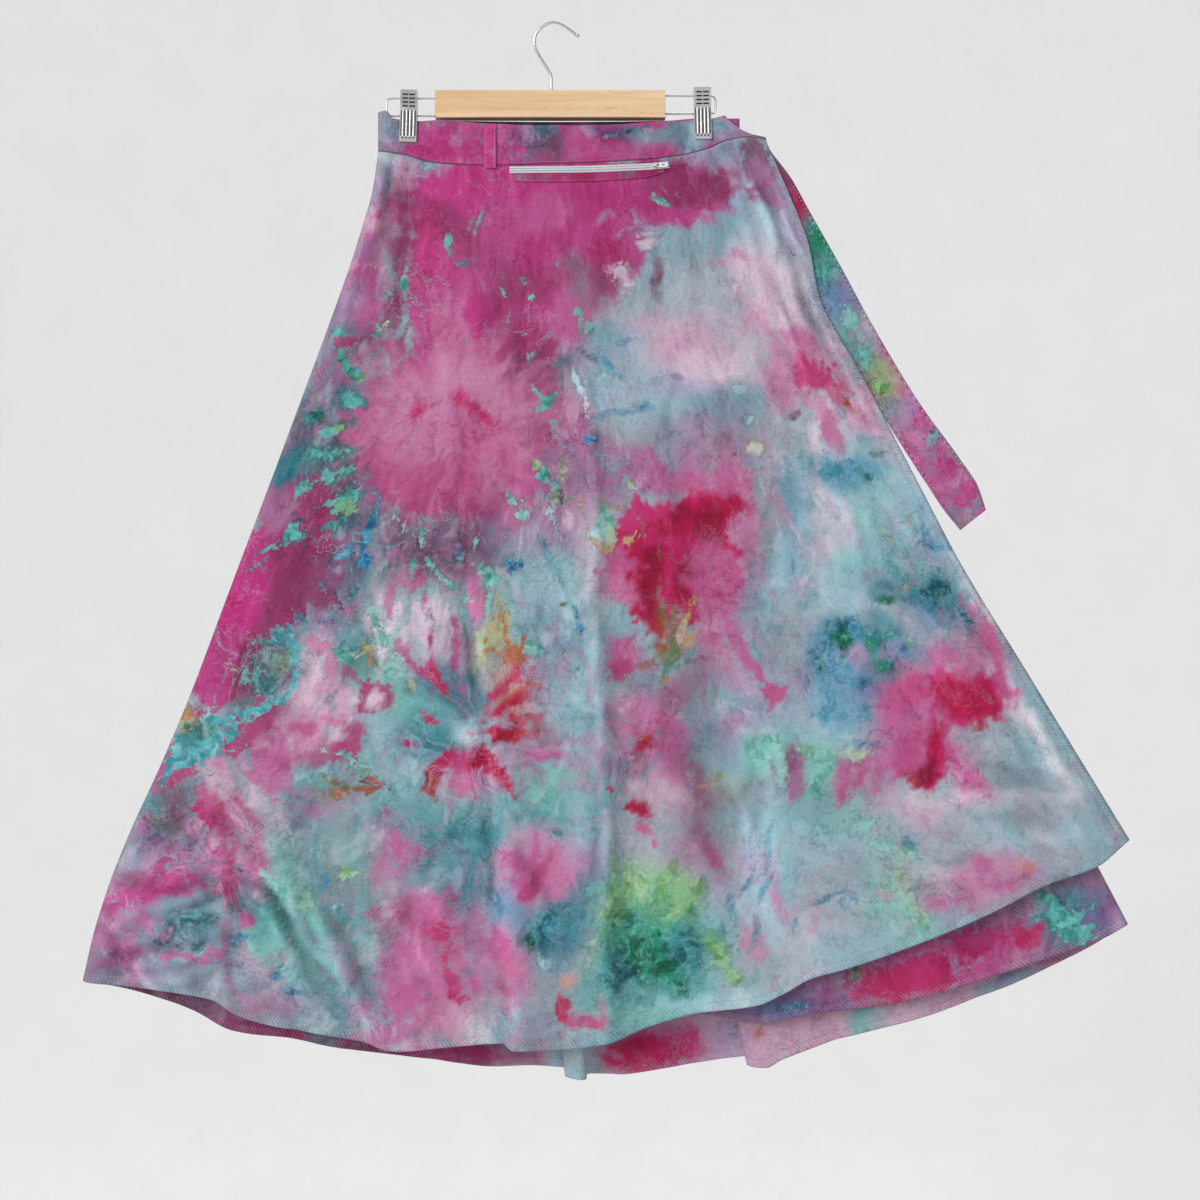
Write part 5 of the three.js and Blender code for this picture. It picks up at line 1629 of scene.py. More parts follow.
tieWashes = rowsOf("""
790 185 22 34 -24 plum .9
800 190 16 16 0 cherry .4
815 250 26 36 -24 jade .9
832 300 26 24 0 azure .7
856 340 26 34 -24 turquoise .8
874 385 24 22 0 lime .7
885 410 22 14 0 sea .7
900 420 30 12 -60 lilac .7
925 450 30 30 -30 rose .85
955 490 34 34 -30 rose .9
958 515 16 12 0 smoke .6
""")
tieStains = rowsOf("""
795 200 9 26 -24 cherry .7 14 .85 .3
812 240 12 16 0 emerald .8 16 .85 .4
945 470 16 12 30 fuchsia .8 16 .85 .4
965 498 16 14 0 fuchsia .8 14 .85 .3
918 440 8 14 -30 pink .7 14 .8 .3
""")
tieFlecks = rowsOf("""
822 270 10 14 0 turquoise .7 14 .8 .4
850 320 10 16 -20 mint .7 14 .8 .4
868 360 12 14 0 turquoise .7 14 .8 .4
880 388 10 8 0 lime .7 12 .85 .4
932 440 8 10 0 steel .8 12 .9
812 225 4 7 0 turquoise .8 9 .9
""")
# The first four rows paint the back's hem dark where it shows below the front: partly its dye and partly
# painted shade.
backWashes = rowsOf("""
250 1010 190 50 6 dark .9
330 1040 120 30 6 deep .6
180 980 80 40 0 plum .7
450 1045 120 30 0 plum .9
318 1040 20 20 0 teal .5
575 1050 22 40 0 ice .9
650 1045 50 34 0 rose .9
722 1050 26 30 0 lilac .8
790 1030 60 34 0 pale .9
872 1020 34 30 0 turquoise .7
930 1005 50 30 0 pale .8
1020 980 40 26 0 steel .8
1040 975 26 16 0 violet .5
1080 955 34 26 0 pink .8
755 1045 7 5 0 orange .7
420 260 70 110 0 rose .8
680 250 90 90 0 steel .7
560 420 120 90 20 ice .7
400 560 110 90 0 sea .7
760 480 110 100 0 pink .7
300 760 110 90 0 pale .8
620 700 120 100 0 mint .6
880 700 110 90 0 mauve .6
240 930 120 70 0 lilac .7
480 900 110 90 0 rose .6
720 900 110 70 0 steel .6
950 880 100 70 0 mint .6
""")
backStains = rowsOf("""
655 1048 50 15 0 cherry .85 18 .95 .2
450 1050 60 14 0 deep .8 20 .85 .3
640 1052 26 14 0 cherry .9 20 .9 .3
680 1040 18 14 0 hot .7 20 .85 .3
520 240 70 80 10 fuchsia .9 68 .95 .08
640 420 90 70 30 fuchsia .85 68 .9 .08
330 520 60 90 20 bright .85 60 .9 .08
540 640 60 70 0 cherry .8 68 .9 .08
540 640 34 44 0 crimson .8 52 .95 .08
820 600 70 60 -20 fuchsia .8 68 .85 .08
420 800 80 60 20 rose .8 68 .8 .08
760 830 60 50 0 hot .8 68 .85 .08
220 880 50 50 0 fuchsia .7 60 .8 .08
960 830 60 34 30 plum .7 60 .8 .08
600 940 60 40 0 rose .7 60 .8 .08
720 320 50 34 0 plum .7 60 .8 .08
""")
backFlecks = rowsOf("""
600 320 14 40 30 turquoise .9 32 .85 .15
440 420 30 40 0 turquoise .8 41 .8 .15
700 560 60 30 20 jade .8 48 .85 .15
660 570 16 10 0 emerald .9 25 .95 .15
430 690 50 30 0 turquoise .8 48 .8 .15
880 760 50 60 0 jade .8 54 .85 .15
890 770 16 14 0 forest .9 25 .95 .15
300 880 60 40 0 mint .8 48 .8 .15
560 820 40 60 0 lime .7 48 .8 .15
1010 900 40 34 0 turquoise .8 41 .8 .15
700 980 50 26 0 sky .7 41 .8 .15
330 640 20 30 0 azure .7 32 .8 .15
""")
underWashes = rowsOf("""
790 1000 60 24 -6 violet .8
770 1010 30 14 0 azure .4
930 965 100 34 -14 fuchsia .9
1062 920 34 34 0 teal .8
1092 915 22 30 0 violet .7
1115 925 16 20 0 lilac .8
860 700 160 200 0 rose .7
700 500 120 160 0 ice .6
""")
underStains = rowsOf("""
900 975 60 20 -14 cherry .7 22 .85 .3
980 945 44 18 -20 deep .8 22 .85 .3
1030 930 20 14 -20 cherry .8 18 .85 .3
800 700 80 60 0 fuchsia .8 30 .85 .3
""")
underFlecks = rowsOf("""
858 972 14 6 -20 olive .9 12 .9 .3
1066 922 14 26 -30 turquoise .95 12 .85 .6
1048 902 12 7 20 turquoise .9 9 .85 .5
1078 938 8 6 0 sea .7 10 .85 .5
800 1005 20 6 -10 sky .7 14 .8
""")


# Nodes of one material, with short calls for the ones used most.
class Nodes:
    def __init__(self, name):
        self.material = bpy.data.materials.new(name)
        self.material.use_nodes = True
        self.tree = self.material.node_tree
        self.surface = self.tree.nodes["Principled BSDF"]
        self.spot = self.tree.nodes.new("ShaderNodeTexCoord")

    def add(self, kind, inputs=None, **settings):
        made = self.tree.nodes.new("ShaderNode" + kind)
        for key, value in settings.items():
            setattr(made, key, value)
        for key, value in (inputs or {}).items():
            if isinstance(value, bpy.types.NodeSocket):
                self.tree.links.new(value, made.inputs[key])
            else:
                made.inputs[key].default_value = value
        return made

    def noise(self, scale, detail=4, rough=0.55, distortion=0.0, at=None):
        return self.add("TexNoise", {
            "Vector": at or self.spot.outputs["Object"], "Scale": scale, "Detail": detail,
            "Roughness": rough, "Distortion": distortion,
        }).outputs["Fac"]

    def attribute(self, name):
        return self.add("Attribute", attribute_name=name).outputs["Fac"]

    def math(self, operation, *values):
        return self.add("Math", dict(enumerate(values)), operation=operation).outputs[0]

    def times(self, a, b):
        return self.math("MULTIPLY", a, b)

    def plus(self, a, b):
        return self.math("ADD", a, b)

    def vector(self, operation, *values):
        return self.add("VectorMath", dict(enumerate(values)), operation=operation).outputs[0]

    def offMiddle(self, value):
        return self.math("SUBTRACT", value, 0.5)

    # Painted shade: darkens hollows by how little of their surroundings they see.
    def hollowShade(self):
        return self.add("AmbientOcclusion", {"Distance": 0.0022}, samples=8).outputs["AO"]

    def deeper(self, colour, power):
        return self.add("Gamma", {"Color": colour, "Gamma": power}).outputs[0]

    def ramp(self, value, low, high, toLow=0.0, toHigh=1.0):
        return self.add("MapRange", {
            "Value": value, "From Min": low, "From Max": high, "To Min": toLow, "To Max": toHigh,
        }, interpolation_type="SMOOTHSTEP").outputs["Result"]

    def mix(self, share, a, b, kind="MIX"):
        made = self.add("Mix", {"Factor": share}, data_type="RGBA", blend_type=kind)
        for slot, value in ((6, a), (7, b)):
            if isinstance(value, bpy.types.NodeSocket):
                self.tree.links.new(value, made.inputs[slot])
            else:
                made.inputs[slot].default_value = (*value[:3], 1)
        return made.outputs[2]

    def stretched(self, scale, turn=(0, 0, 0)):
        return self.add("Mapping", {
            "Vector": self.spot.outputs["Object"], "Scale": scale, "Rotation": turn,
        }).outputs["Vector"]

    def bump(self, height, strength, distance, before=None):
        inputs = {"Height": height, "Strength": strength, "Distance": distance}
        if before:
            inputs["Normal"] = before
        return self.add("Bump", inputs).outputs["Normal"]

    def finish(self, colour=None, normal=None, roughness=None, **settings):
        for name, value in (("Base Color", colour), ("Normal", normal), ("Roughness", roughness)):
            if isinstance(value, bpy.types.NodeSocket):
                self.tree.links.new(value, self.surface.inputs[name])
            elif value is not None:
                self.surface.inputs[name].default_value = value
        for name, value in settings.items():
            self.surface.inputs[name.replace("_", " ")].default_value = value
        return self.material


weaveLook = {
    "threads": 2200, "weaveDepth": 0.00012, "crumple": 0.0022, "creaseScale": 22, "depth": 1.18,
    "hemPitch": 0.0042,
}
# Streaks in which the dye runs down the cloth: cells across and down, from, to, strength, roughness,
# distortion, and the shift that tells one from another.
veils = {
    "dark": (22, 15, 0.48, 0.68, 0.55, 0.55, 0.7, 0.0),
    "pale": (24, 17, 0.52, 0.66, 0.45, 0.58, 0.9, 3.1),
    "pink": (18, 14, 0.50, 0.62, 0.42, 0.6, 1.2, 5.7),
    "blue": (21, 15, 0.51, 0.62, 0.42, 0.6, 1.2, 8.3),
    "vein": (52, 36, 0.50, 0.64, 0.30, 0.62, 1.4, 11.9),
}
# Tones mixed into the cloth: seam is painted shade along the waistband's seam and pucker a painted highlight
# on the hem's puckers; the others are dyes.
clothTones = {
    "pink": (0.50, 0.19, 0.34), "blue": (0.12, 0.35, 0.38), "bleached": (0.72, 0.72, 0.76),
    "stainPale": (0.66, 0.27, 0.47), "fleckPale": (0.60, 0.78, 0.76), "edging": (0.16, 0.40, 0.44),
    "seam": (0.10, 0.03, 0.07), "pucker": (0.85, 0.84, 0.87),
}
# Thin wandering lines where two dyes met: size of their cells, distortion, half width, noise that picks them
# (cells, from, to), dye and strength.
meetingLines = [
    (21, 1.6, (0.016, 0.003), (9.45, 0.5, 0.57), (0.22, 0.54, 0.53), 0.55),
    (29, 1.6, (0.016, 0.003), (13.05, 0.52, 0.59), (0.66, 0.46, 0.58), 0.35),
]
# Knots of the tie-dye: centre, reach, how many rays, strength of the dark and of the pale ones, pale dye.
knots = [
    (455, 416, 112, 4.5, 0.35, 0.45, "bloom"), (470, 735, 120, 4, 0.45, 0.35, "ice"),
    (690, 590, 100, 3.5, 0.45, 0.2, "hot"), (672, 648, 50, 5, 0.4, 0.4, "sea"),
    (652, 975, 110, 4, 0.2, 0.35, "sea"), (225, 850, 100, 3.5, 0.4, 0.35, "blush"),
]
knotLook = {"swayScale": 13, "sway": 0.16, "rayScale": 16, "hub": (0.008, 0.03)}


def veil(m, name):
    across, down, low, high, strong, rough, distortion, shift = veils[name]
    spot = m.add("Mapping", {
        "Vector": m.spot.outputs["UV"], "Scale": (across, down, 1), "Location": (shift, shift * 0.7, 0),
        "Rotation": (0, 0, shift * 0.35),
    })
    return m.ramp(m.noise(1, 6, rough, distortion, spot.outputs["Vector"]), low, high, 0, strong)


# The three layers of dye, each torn at its edge by noise: softly in some places, sharply in others.
def dyeLayers(m, soft, crisp, fine, ragged, lace):
    layer = {key: m.add("Attribute", attribute_name=key) for key in ("wash", "stain", "fleck")}
    torn = m.math("MULTIPLY_ADD", m.offMiddle(ragged), 1.15, layer["stain"].outputs["Alpha"])
    torn = m.plus(torn, m.times(m.offMiddle(fine), 0.2))
    stainShare = m.mix(crisp, m.ramp(torn, 0.18, 0.82), m.ramp(torn, 0.38, 0.62))
    frayed = m.times(m.offMiddle(lace), m.math("MULTIPLY_ADD", soft, -1.1, 1.9))
    frayed = m.plus(frayed, layer["fleck"].outputs["Alpha"])
    frayed = m.plus(frayed, m.times(m.offMiddle(fine), 0.3))
    fleckShare = m.mix(crisp, m.ramp(frayed, 0.38, 0.68), m.ramp(frayed, 0.46, 0.56))
    fleckShare = m.mix(soft, fleckShare, m.ramp(frayed, 0.15, 1.0))

    dark, pale, vein = veil(m, "dark"), veil(m, "pale"), veil(m, "vein")
    calm = m.math("SUBTRACT", 1.0, m.times(soft, 0.72))
    wash = layer["wash"].outputs["Color"]
    wash = m.mix(m.times(veil(m, "pink"), calm), wash, clothTones["pink"])
    wash = m.mix(m.times(veil(m, "blue"), calm), wash, clothTones["blue"])
    bleached = m.mix(0.35, m.deeper(wash, 0.5), clothTones["bleached"])
    wash = m.mix(m.times(pale, calm), wash, bleached)
    wash = m.mix(m.times(dark, calm), wash, m.deeper(wash, 1.5))
    wash = m.mix(vein, wash, m.deeper(wash, 1.7))
    stain = layer["stain"].outputs["Color"]
    stain = m.mix(m.times(pale, 0.45), stain, clothTones["stainPale"])
    stain = m.mix(dark, stain, m.deeper(stain, 1.35))
    stain = m.mix(vein, stain, m.deeper(stain, 1.3))
    fleck = m.mix(m.ramp(fine, 0.45, 0.7, 0, 0.3), layer["fleck"].outputs["Color"], clothTones["fleckPale"])
    fleck = m.mix(m.ramp(ragged, 0.54, 0.40, 0, 0.8), fleck, m.deeper(fleck, 2.0))

    colour = m.mix(stainShare, wash, stain)
    edging = m.times(m.ramp(torn, 0.22, 0.4), m.ramp(torn, 0.62, 0.46))
    edging = m.times(m.times(edging, m.ramp(lace, 0.50, 0.56)), crisp)
    colour = m.mix(m.times(edging, 0.6), colour, clothTones["edging"])
    colour = m.mix(fleckShare, colour, fleck)
    rim = m.times(m.ramp(frayed, 0.34, 0.44), m.ramp(frayed, 0.54, 0.46))
    return m.mix(m.times(rim, 0.3), colour, m.deeper(colour, 2.0))


def meetings(m, colour, soft, share):
    for size, distortion, width, (pickScale, low, high), tone, strong in meetingLines:
        contour = m.math("ABSOLUTE", m.offMiddle(m.noise(size, 6, 0.62, distortion)))
        line = m.times(m.ramp(contour, *width), m.ramp(m.noise(pickScale, 3), low, high))
        strong = strong * share
        line = m.times(line, m.math("SUBTRACT", strong, m.times(soft, strong * 0.8)))
        colour = m.mix(line, colour, tone)
    contour = m.math("ABSOLUTE", m.offMiddle(m.noise(25, 6, 0.62, 1.3)))
    line = m.times(m.ramp(contour, 0.02, 0.004), m.ramp(m.noise(12, 3), 0.5, 0.57, 0, 0.5))
    return m.mix(line, colour, m.deeper(colour, 1.7))


# Dye that ran out from a tied knot in bent rays.
def knotRays(m, colour):
    flat = m.vector("MULTIPLY", m.spot.outputs["Object"], (1, 0, 1))
    cells = {"Vector": m.spot.outputs["Object"], "Scale": knotLook["swayScale"], "Detail": 3}
    sway = m.vector("SUBTRACT", m.add("TexNoise", cells).outputs["Color"], (0.5, 0.5, 0.5))
    flat = m.vector("ADD", flat, m.vector("MULTIPLY", sway, (knotLook["sway"], 0, knotLook["sway"])))
    for cx, cy, reach, spokes, dark, pale, dye in knots:
        middle = (chart["across"] + (cx - chart["middle"]) * chart["step"], 0,
                  chart["height"] - (cy - chart["middle"]) * chart["step"])
        away = m.vector("SUBTRACT", flat, [part / 1000 for part in middle])
        long = m.add("VectorMath", {0: away}, operation="LENGTH").outputs["Value"]
        toward = m.vector("NORMALIZE", away)
        wander = m.vector("MULTIPLY", away, (knotLook["rayScale"],) * 3)
        streak = m.noise(1, 5, 0.62, 0.5, m.vector("MULTIPLY_ADD", toward, (spokes,) * 3, wander))
        near = m.times(m.ramp(long, reach / 1000, reach / 3500), m.ramp(long, *knotLook["hub"]))
        share = m.times(m.ramp(streak, 0.50, 0.64, 0, dark), near)
        colour = m.mix(share, colour, m.deeper(colour, 1.7))
        share = m.times(m.ramp(streak, 0.48, 0.34, 0, pale), near)
        colour = m.mix(share, colour, tuple(dyeColours[dye]))
    return colour


# Painted shade and light: troughs of the creases and fine crumples are darker and ridges paler, over a fine
# random grain; gives the colour and the bumped normal.
def creaseLight(m, colour):
    ridged = m.math("ABSOLUTE", m.offMiddle(m.noise(weaveLook["creaseScale"], 6, 0.6, 0.5)))
    small = m.math("ABSOLUTE", m.offMiddle(m.noise(64, 5, 0.6, 0.6)))
    creaseShadeAndGrain = m.plus(m.attribute("fold"), m.times(m.ramp(ridged, 0.0, 0.05, -1, 0), 0.05))
    creaseShadeAndGrain = m.plus(creaseShadeAndGrain, m.times(m.ramp(small, 0.0, 0.05, -1, 0), 0.035))
    creaseShadeAndGrain = m.plus(creaseShadeAndGrain, m.ramp(m.noise(320, 4, 0.7), 0.3, 0.7, -0.09, 0.09))
    light = m.plus(creaseShadeAndGrain, 1.02)
    light = m.add("CombineColor", {0: light, 1: light, 2: light}).outputs[0]
    colour = m.mix(1.0, m.deeper(colour, weaveLook["depth"]), light, "MULTIPLY")
    normal = m.bump(ridged, 0.5, weaveLook["crumple"] * 2)
    normal = m.bump(small, 0.45, weaveLook["crumple"], normal)
    return colour, m.bump(m.noise(150, 4, 0.6, 0.3), 0.35, weaveLook["crumple"] * 0.4, normal)


# The narrow turned hem: its row of sewing, with painted shade along it, and slanted puckers that fade away
# from the edge, with painted highlights on their ridges and painted shade in their troughs.
def puckerHem(m, colour, normal, ragged):
    fromHem, alongEdge = m.attribute("fromHem"), m.attribute("alongHem")
    band = m.ramp(fromHem, 0.0125, 0.0095)
    wave = m.times(alongEdge, 2 * math.pi / weaveLook["hemPitch"])
    wave = m.plus(wave, m.times(fromHem, 900))
    wave = m.plus(wave, m.times(ragged, 9))
    pucker = m.times(m.math("SINE", wave), band)
    line = m.times(m.ramp(fromHem, 0.0082, 0.0094), m.ramp(fromHem, 0.0108, 0.0096))
    # Painted shade along the row of sewing.
    colour = m.mix(m.times(line, 0.3), colour, m.deeper(colour, 1.8))
    # Painted highlight on the puckers' ridges.
    colour = m.mix(m.ramp(pucker, 0.3, 1, 0, 0.07), colour, clothTones["pucker"])
    # Painted shade in the puckers' troughs near the edge.
    troughShade = m.times(m.ramp(pucker, -0.2, -0.9, 0, 0.3), m.ramp(fromHem, 0.0075, 0.002))
    return m.mix(troughShade, colour, m.deeper(colour, 2.0)), m.bump(pucker, 0.4, 0.0006, normal)


def dyedCloth(name, hem=False, seam=(0.0011, 0.0004), lines=1.0):
    m = Nodes(name)
    ragged = m.noise(46, 6, 0.58, 0.8)
    fine = m.noise(150, 5, 0.6, 0.6)
    lace = m.noise(95, 6, 0.66, 2.2)
    soft = m.attribute("soft")
    crisp = m.times(m.ramp(m.noise(8, 3, 0.5, 0.4), 0.42, 0.56), m.math("SUBTRACT", 1.0, soft))
    colour = dyeLayers(m, soft, crisp, fine, ragged, lace)
    colour = knotRays(m, meetings(m, colour, soft, lines))
    colour, normal = creaseLight(m, colour)
    uv = m.add("SeparateXYZ", {0: m.spot.outputs["UV"]})
    # Painted shade: a dark line along the waistband's seam, on the band's lower edge and the panel's top
    # edge.
    colour = m.mix(m.ramp(uv.outputs[1], seam[0], seam[1], 0, 0.6), colour, clothTones["seam"])
    if hem:
        colour, normal = puckerHem(m, colour, normal, ragged)
    warpThread = m.math("SINE", m.times(uv.outputs[0], weaveLook["threads"] * math.pi))
    weftThread = m.math("SINE", m.times(uv.outputs[1], weaveLook["threads"] * math.pi))
    normal = m.bump(m.times(warpThread, weftThread), 0.25, weaveLook["weaveDepth"], normal)
    return m.finish(colour, normal, 0.86, Sheen_Weight=0.12, Sheen_Roughness=0.45, Specular_IOR_Level=0.25)


frontCloth = dyedCloth("dyed rayon, hemmed", hem=True)
bandCloth = dyedCloth("dyed rayon, waistband", seam=(0.0439, 0.0445), lines=0.3)
tieCloth = dyedCloth("dyed rayon, ties and loop", seam=(9, 10), lines=0.5)


def threadFinish(name, colour):
    m = Nodes(name)
    twist = m.noise(2600, 2, 0.5)
    tone = m.mix(m.ramp(twist, 0.35, 0.65), [c * 0.72 for c in colour], colour)
    return m.finish(tone, m.bump(twist, 0.4, 0.0001), 0.7)


pinkThread = threadFinish("thread, dyed pink", (0.60, 0.30, 0.44))
paleThread = threadFinish("thread, pale", (0.72, 0.70, 0.74))
navyThread = threadFinish("thread, navy", (0.035, 0.07, 0.13))


def tapeFinish():
    m = Nodes("zip tape, woven")
    uv = m.add("SeparateXYZ", {0: m.spot.outputs["UV"]})
    ribs = m.math("SINE", m.times(uv.outputs[1], 2 * math.pi * 1500))
    slant = m.plus(uv.outputs[0], uv.outputs[1])
    twill = m.math("SINE", m.times(slant, 2 * math.pi * 900))
    colour = m.mix(m.ramp(twill, -1, 1), (0.70, 0.71, 0.73), (0.86, 0.87, 0.89))
    colour = m.mix(m.ramp(m.noise(60, 4), 0.55, 0.8, 0, 0.5), colour, (0.66, 0.60, 0.68))
    # Painted shade along both sides of the coil.
    fromMiddle = m.math("ABSOLUTE", m.math("SUBTRACT", uv.outputs[1], 0.0035))
    coilShade = m.times(m.ramp(fromMiddle, 0.0009, 0.0012), m.ramp(fromMiddle, 0.0022, 0.0019))
    colour = m.mix(m.times(coilShade, 0.85), colour, (0.22, 0.23, 0.27))
    return m.finish(colour, m.bump(m.plus(ribs, twill), 0.4, 0.0001), 0.75, Sheen_Weight=0.1)


def coilFinish():
    m = Nodes("zip coil, white nylon")
    colour = m.mix(m.ramp(m.noise(400, 3), 0.4, 0.7), (0.62, 0.63, 0.66), (0.88, 0.88, 0.9))
    return m.finish(colour, m.bump(m.noise(900, 2), 0.2, 0.00005), 0.35, Coat_Weight=0.2)


def enamelFinish():
    m = Nodes("white enamel, worn at its edges")
    worn = m.add("NewGeometry").outputs["Pointiness"]
    chips = m.times(m.ramp(worn, 0.54, 0.62), m.ramp(m.noise(700, 4), 0.45, 0.6))
    colour = m.mix(m.ramp(m.noise(160, 3), 0.3, 0.7), (0.80, 0.80, 0.80), (0.88, 0.88, 0.87))
    colour = m.mix(m.times(chips, 0.7), colour, (0.45, 0.45, 0.46))
    # Painted shade in the hollows of the slider and pull.
    colour = m.mix(m.ramp(m.hollowShade(), 0.92, 0.5), colour, (0.12, 0.12, 0.13))
    normal = m.bump(m.noise(260, 3), 0.12, 0.0001)
    return m.finish(colour, normal, 0.28, Coat_Weight=0.4, Coat_Roughness=0.12)


def woodFinish():
    m = Nodes("pale beech, satin varnish")
    grainSpot = m.stretched((3.2, 90, 90))
    rings = m.noise(1, 5, 0.55, 0.35, grainSpot)
    fibres = m.noise(1, 6, 0.7, 0.1, m.stretched((14, 700, 700)))
    patches = m.noise(1, 3, 0.5, 0.4, m.stretched((9, 30, 26)))
    colour = m.mix(m.ramp(rings, 0.34, 0.66), (0.87, 0.62, 0.38), (0.75, 0.48, 0.25))
    colour = m.mix(m.ramp(patches, 0.5, 0.78, 0, 0.6), colour, (0.86, 0.66, 0.41))
    colour = m.mix(m.ramp(fibres, 0.56, 0.74, 0, 0.25), colour, (0.5, 0.28, 0.11))
    knot = m.math("ABSOLUTE", m.offMiddle(m.noise(1, 4, 0.6, 0.5, m.stretched((5, 40, 34)))))
    colour = m.mix(m.ramp(knot, 0.006, 0.001, 0, 0.3), colour, (0.4, 0.22, 0.1))
    roughness = m.ramp(fibres, 0.3, 0.8, 0.34, 0.5)
    normal = m.bump(m.plus(rings, m.times(fibres, 0.6)), 0.25, 0.0003)
    return m.finish(colour, normal, roughness, Coat_Weight=0.15, Coat_Roughness=0.25)


# The ridges' pitch, where their lines start and end below the clip's top, and the holes; metres.
clipShape = {"pitch": 0.0039, "from": -0.0215, "to": -0.0505, "dots": -0.0518, "dot": 0.0011}
# Each clip's place across and its height in metres, and its tilt in degrees.
clips = {"left": (-0.1555, -0.0735, 1.8), "right": (0.1633, -0.0707, -1.0)}


# Painted shadow lines between the pressed ridges of a clip's jaw, and painted shade for the small holes at
# their lower ends.
def ridgeShadows(m, clip):
    across, top, tilt = clip
    a = math.radians(tilt)
    spot = m.vector("SUBTRACT", m.spot.outputs["Object"], (across, 0, top))
    side, high = (m.add("VectorMath", {0: spot, 1: along}, operation="DOT_PRODUCT").outputs["Value"]
                  for along in ((math.cos(a), 0, -math.sin(a)), (math.sin(a), 0, math.cos(a))))
    cell = m.offMiddle(m.math("FRACT", m.math("DIVIDE", side, clipShape["pitch"])))
    fromRidge = m.times(m.math("ABSOLUTE", cell), clipShape["pitch"])
    within = m.times(m.ramp(high, clipShape["from"], clipShape["from"] - 0.001),
                     m.ramp(high, clipShape["to"], clipShape["to"] + 0.001))
    within = m.times(within, m.ramp(m.math("ABSOLUTE", side), 0.0086, 0.0082))
    lines = m.times(m.ramp(fromRidge, 0.00095, 0.0013, 0, 0.85), within)
    down = m.math("SUBTRACT", high, clipShape["dots"])
    away = m.math("SQRT", m.plus(m.math("POWER", fromRidge, 2), m.times(down, down)))
    dots = m.times(m.ramp(away, clipShape["dot"] * 1.2, clipShape["dot"] * 0.8, 0, 0.9),
                   m.ramp(m.math("ABSOLUTE", side), 0.0080, 0.0076))
    return m.math("MAXIMUM", lines, dots)


def steelFinish(name, tone, rough, clip=None):
    m = Nodes(name)
    smear = m.noise(60, 4, 0.6, 0.5)
    drawn = m.noise(1, 3, 0.6, 0.0, m.stretched((900, 900, 60)))
    colour = m.mix(m.ramp(smear, 0.35, 0.7), tone, [c * 0.82 for c in tone])
    # Painted shade in the hollows of the metal.
    colour = m.mix(m.ramp(m.hollowShade(), 0.92, 0.45), colour, (0.05, 0.05, 0.055))
    if clip:
        # Painted shadow lines and holes on the clip's jaw.
        colour = m.mix(ridgeShadows(m, clip), colour, (0.035, 0.033, 0.034))
    roughness = m.ramp(smear, 0.3, 0.7, rough * 0.8, rough * 1.5)
    return m.finish(colour, m.bump(drawn, 0.12, 0.00008), roughness, Metallic=0.8)


tapeCloth, coilNylon, enamel = tapeFinish(), coilFinish(), enamelFinish()
beech = woodFinish()
nickel = steelFinish("bright nickel plate", (0.76, 0.77, 0.78), 0.24)
springSteel = steelFinish("spring steel", (0.62, 0.62, 0.64), 0.24)
jawSteel = {}
for side, clip in clips.items():
    jawSteel[side] = steelFinish("nickel plate of the " + side + " clip", (0.80, 0.80, 0.79), 0.28, clip)
# A dark sheet put behind the clips' slots as painted shade.
slotShadeSteel = steelFinish("dark sheet of painted shade inside the clips", (0.07, 0.05, 0.05), 0.4)
print("skirt: materials made")


def dress(piece, material, body="skirt", slot=None, *replaced):
    piece.data.materials.clear()
    piece.data.materials.append(material)
    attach(piece, body)
    if replaced:
        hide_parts(*replaced)


def meshArea(piece):
    data = bmesh.new()
    data.from_mesh(piece.data)
    area = sum(face.calc_area() for face in data.faces)
    data.free()
    return area


# The three panels: faces across and down each grid.
panelGrid = {"front": (232, 196), "back": (216, 176), "under": (120, 150)}
hemGrid = {"rows": 7, "of": 190, "deep": 0.016, "tuck": 0.003}  # rows in the hem, share of the drop, tuck


# Sets the rows of faces close together in the hem, and tucks the top row up behind the band.
def hemClose(across, down):
    turn = 1 - hemGrid["rows"] / hemGrid["of"]
    deep = hemGrid["deep"]
    drop = np.where(down < turn, down / turn * (1 - deep), 1 - deep * (1 - down) / (1 - turn))
    return across, np.where(down < 1e-6, -hemGrid["tuck"], drop)


def lifted(place):
    def placed(share, drop):
        points = place(share, np.clip(drop, 0, 1))
        points[:, 2] += np.maximum(0, -drop) * 1000
        return points
    return placed


# Distance from the hem and along it, which runs on round the corner up a free edge.
def hemAttributes(piece, points, columns, rows, freeEdge):
    cells = points.reshape(rows + 1, columns + 1, 3)
    fromBelow = cells[0, 0, 2] < cells[-1, 0, 2]
    if fromBelow:
        cells = cells[::-1]
    steps = np.linalg.norm(np.diff(cells, axis=0), axis=2)
    fromHem = np.concatenate([np.cumsum(steps[::-1], axis=0)[::-1], np.zeros((1, columns + 1))])
    run = np.concatenate([[0], np.cumsum(np.linalg.norm(np.diff(cells[-1], axis=0), axis=1))])
    alongHem = np.tile(run, (rows + 1, 1))
    if freeEdge:
        widths = np.linalg.norm(np.diff(cells, axis=1), axis=2)
        fromEdge = np.concatenate([np.cumsum(widths[:, ::-1], axis=1)[:, ::-1], np.zeros((rows + 1, 1))], 1)
        down = np.concatenate([[0], np.cumsum(steps[:, -1])])
        nearer = fromEdge < fromHem
        alongHem = np.where(nearer, down[:, None], alongHem)
        fromHem = np.minimum(fromEdge, fromHem)
    if fromBelow:
        fromHem, alongHem = fromHem[::-1], alongHem[::-1]
    paintAttribute(piece, "fromHem", "FLOAT", fromHem.ravel() * mm)
    paintAttribute(piece, "alongHem", "FLOAT", alongHem.ravel() * mm)


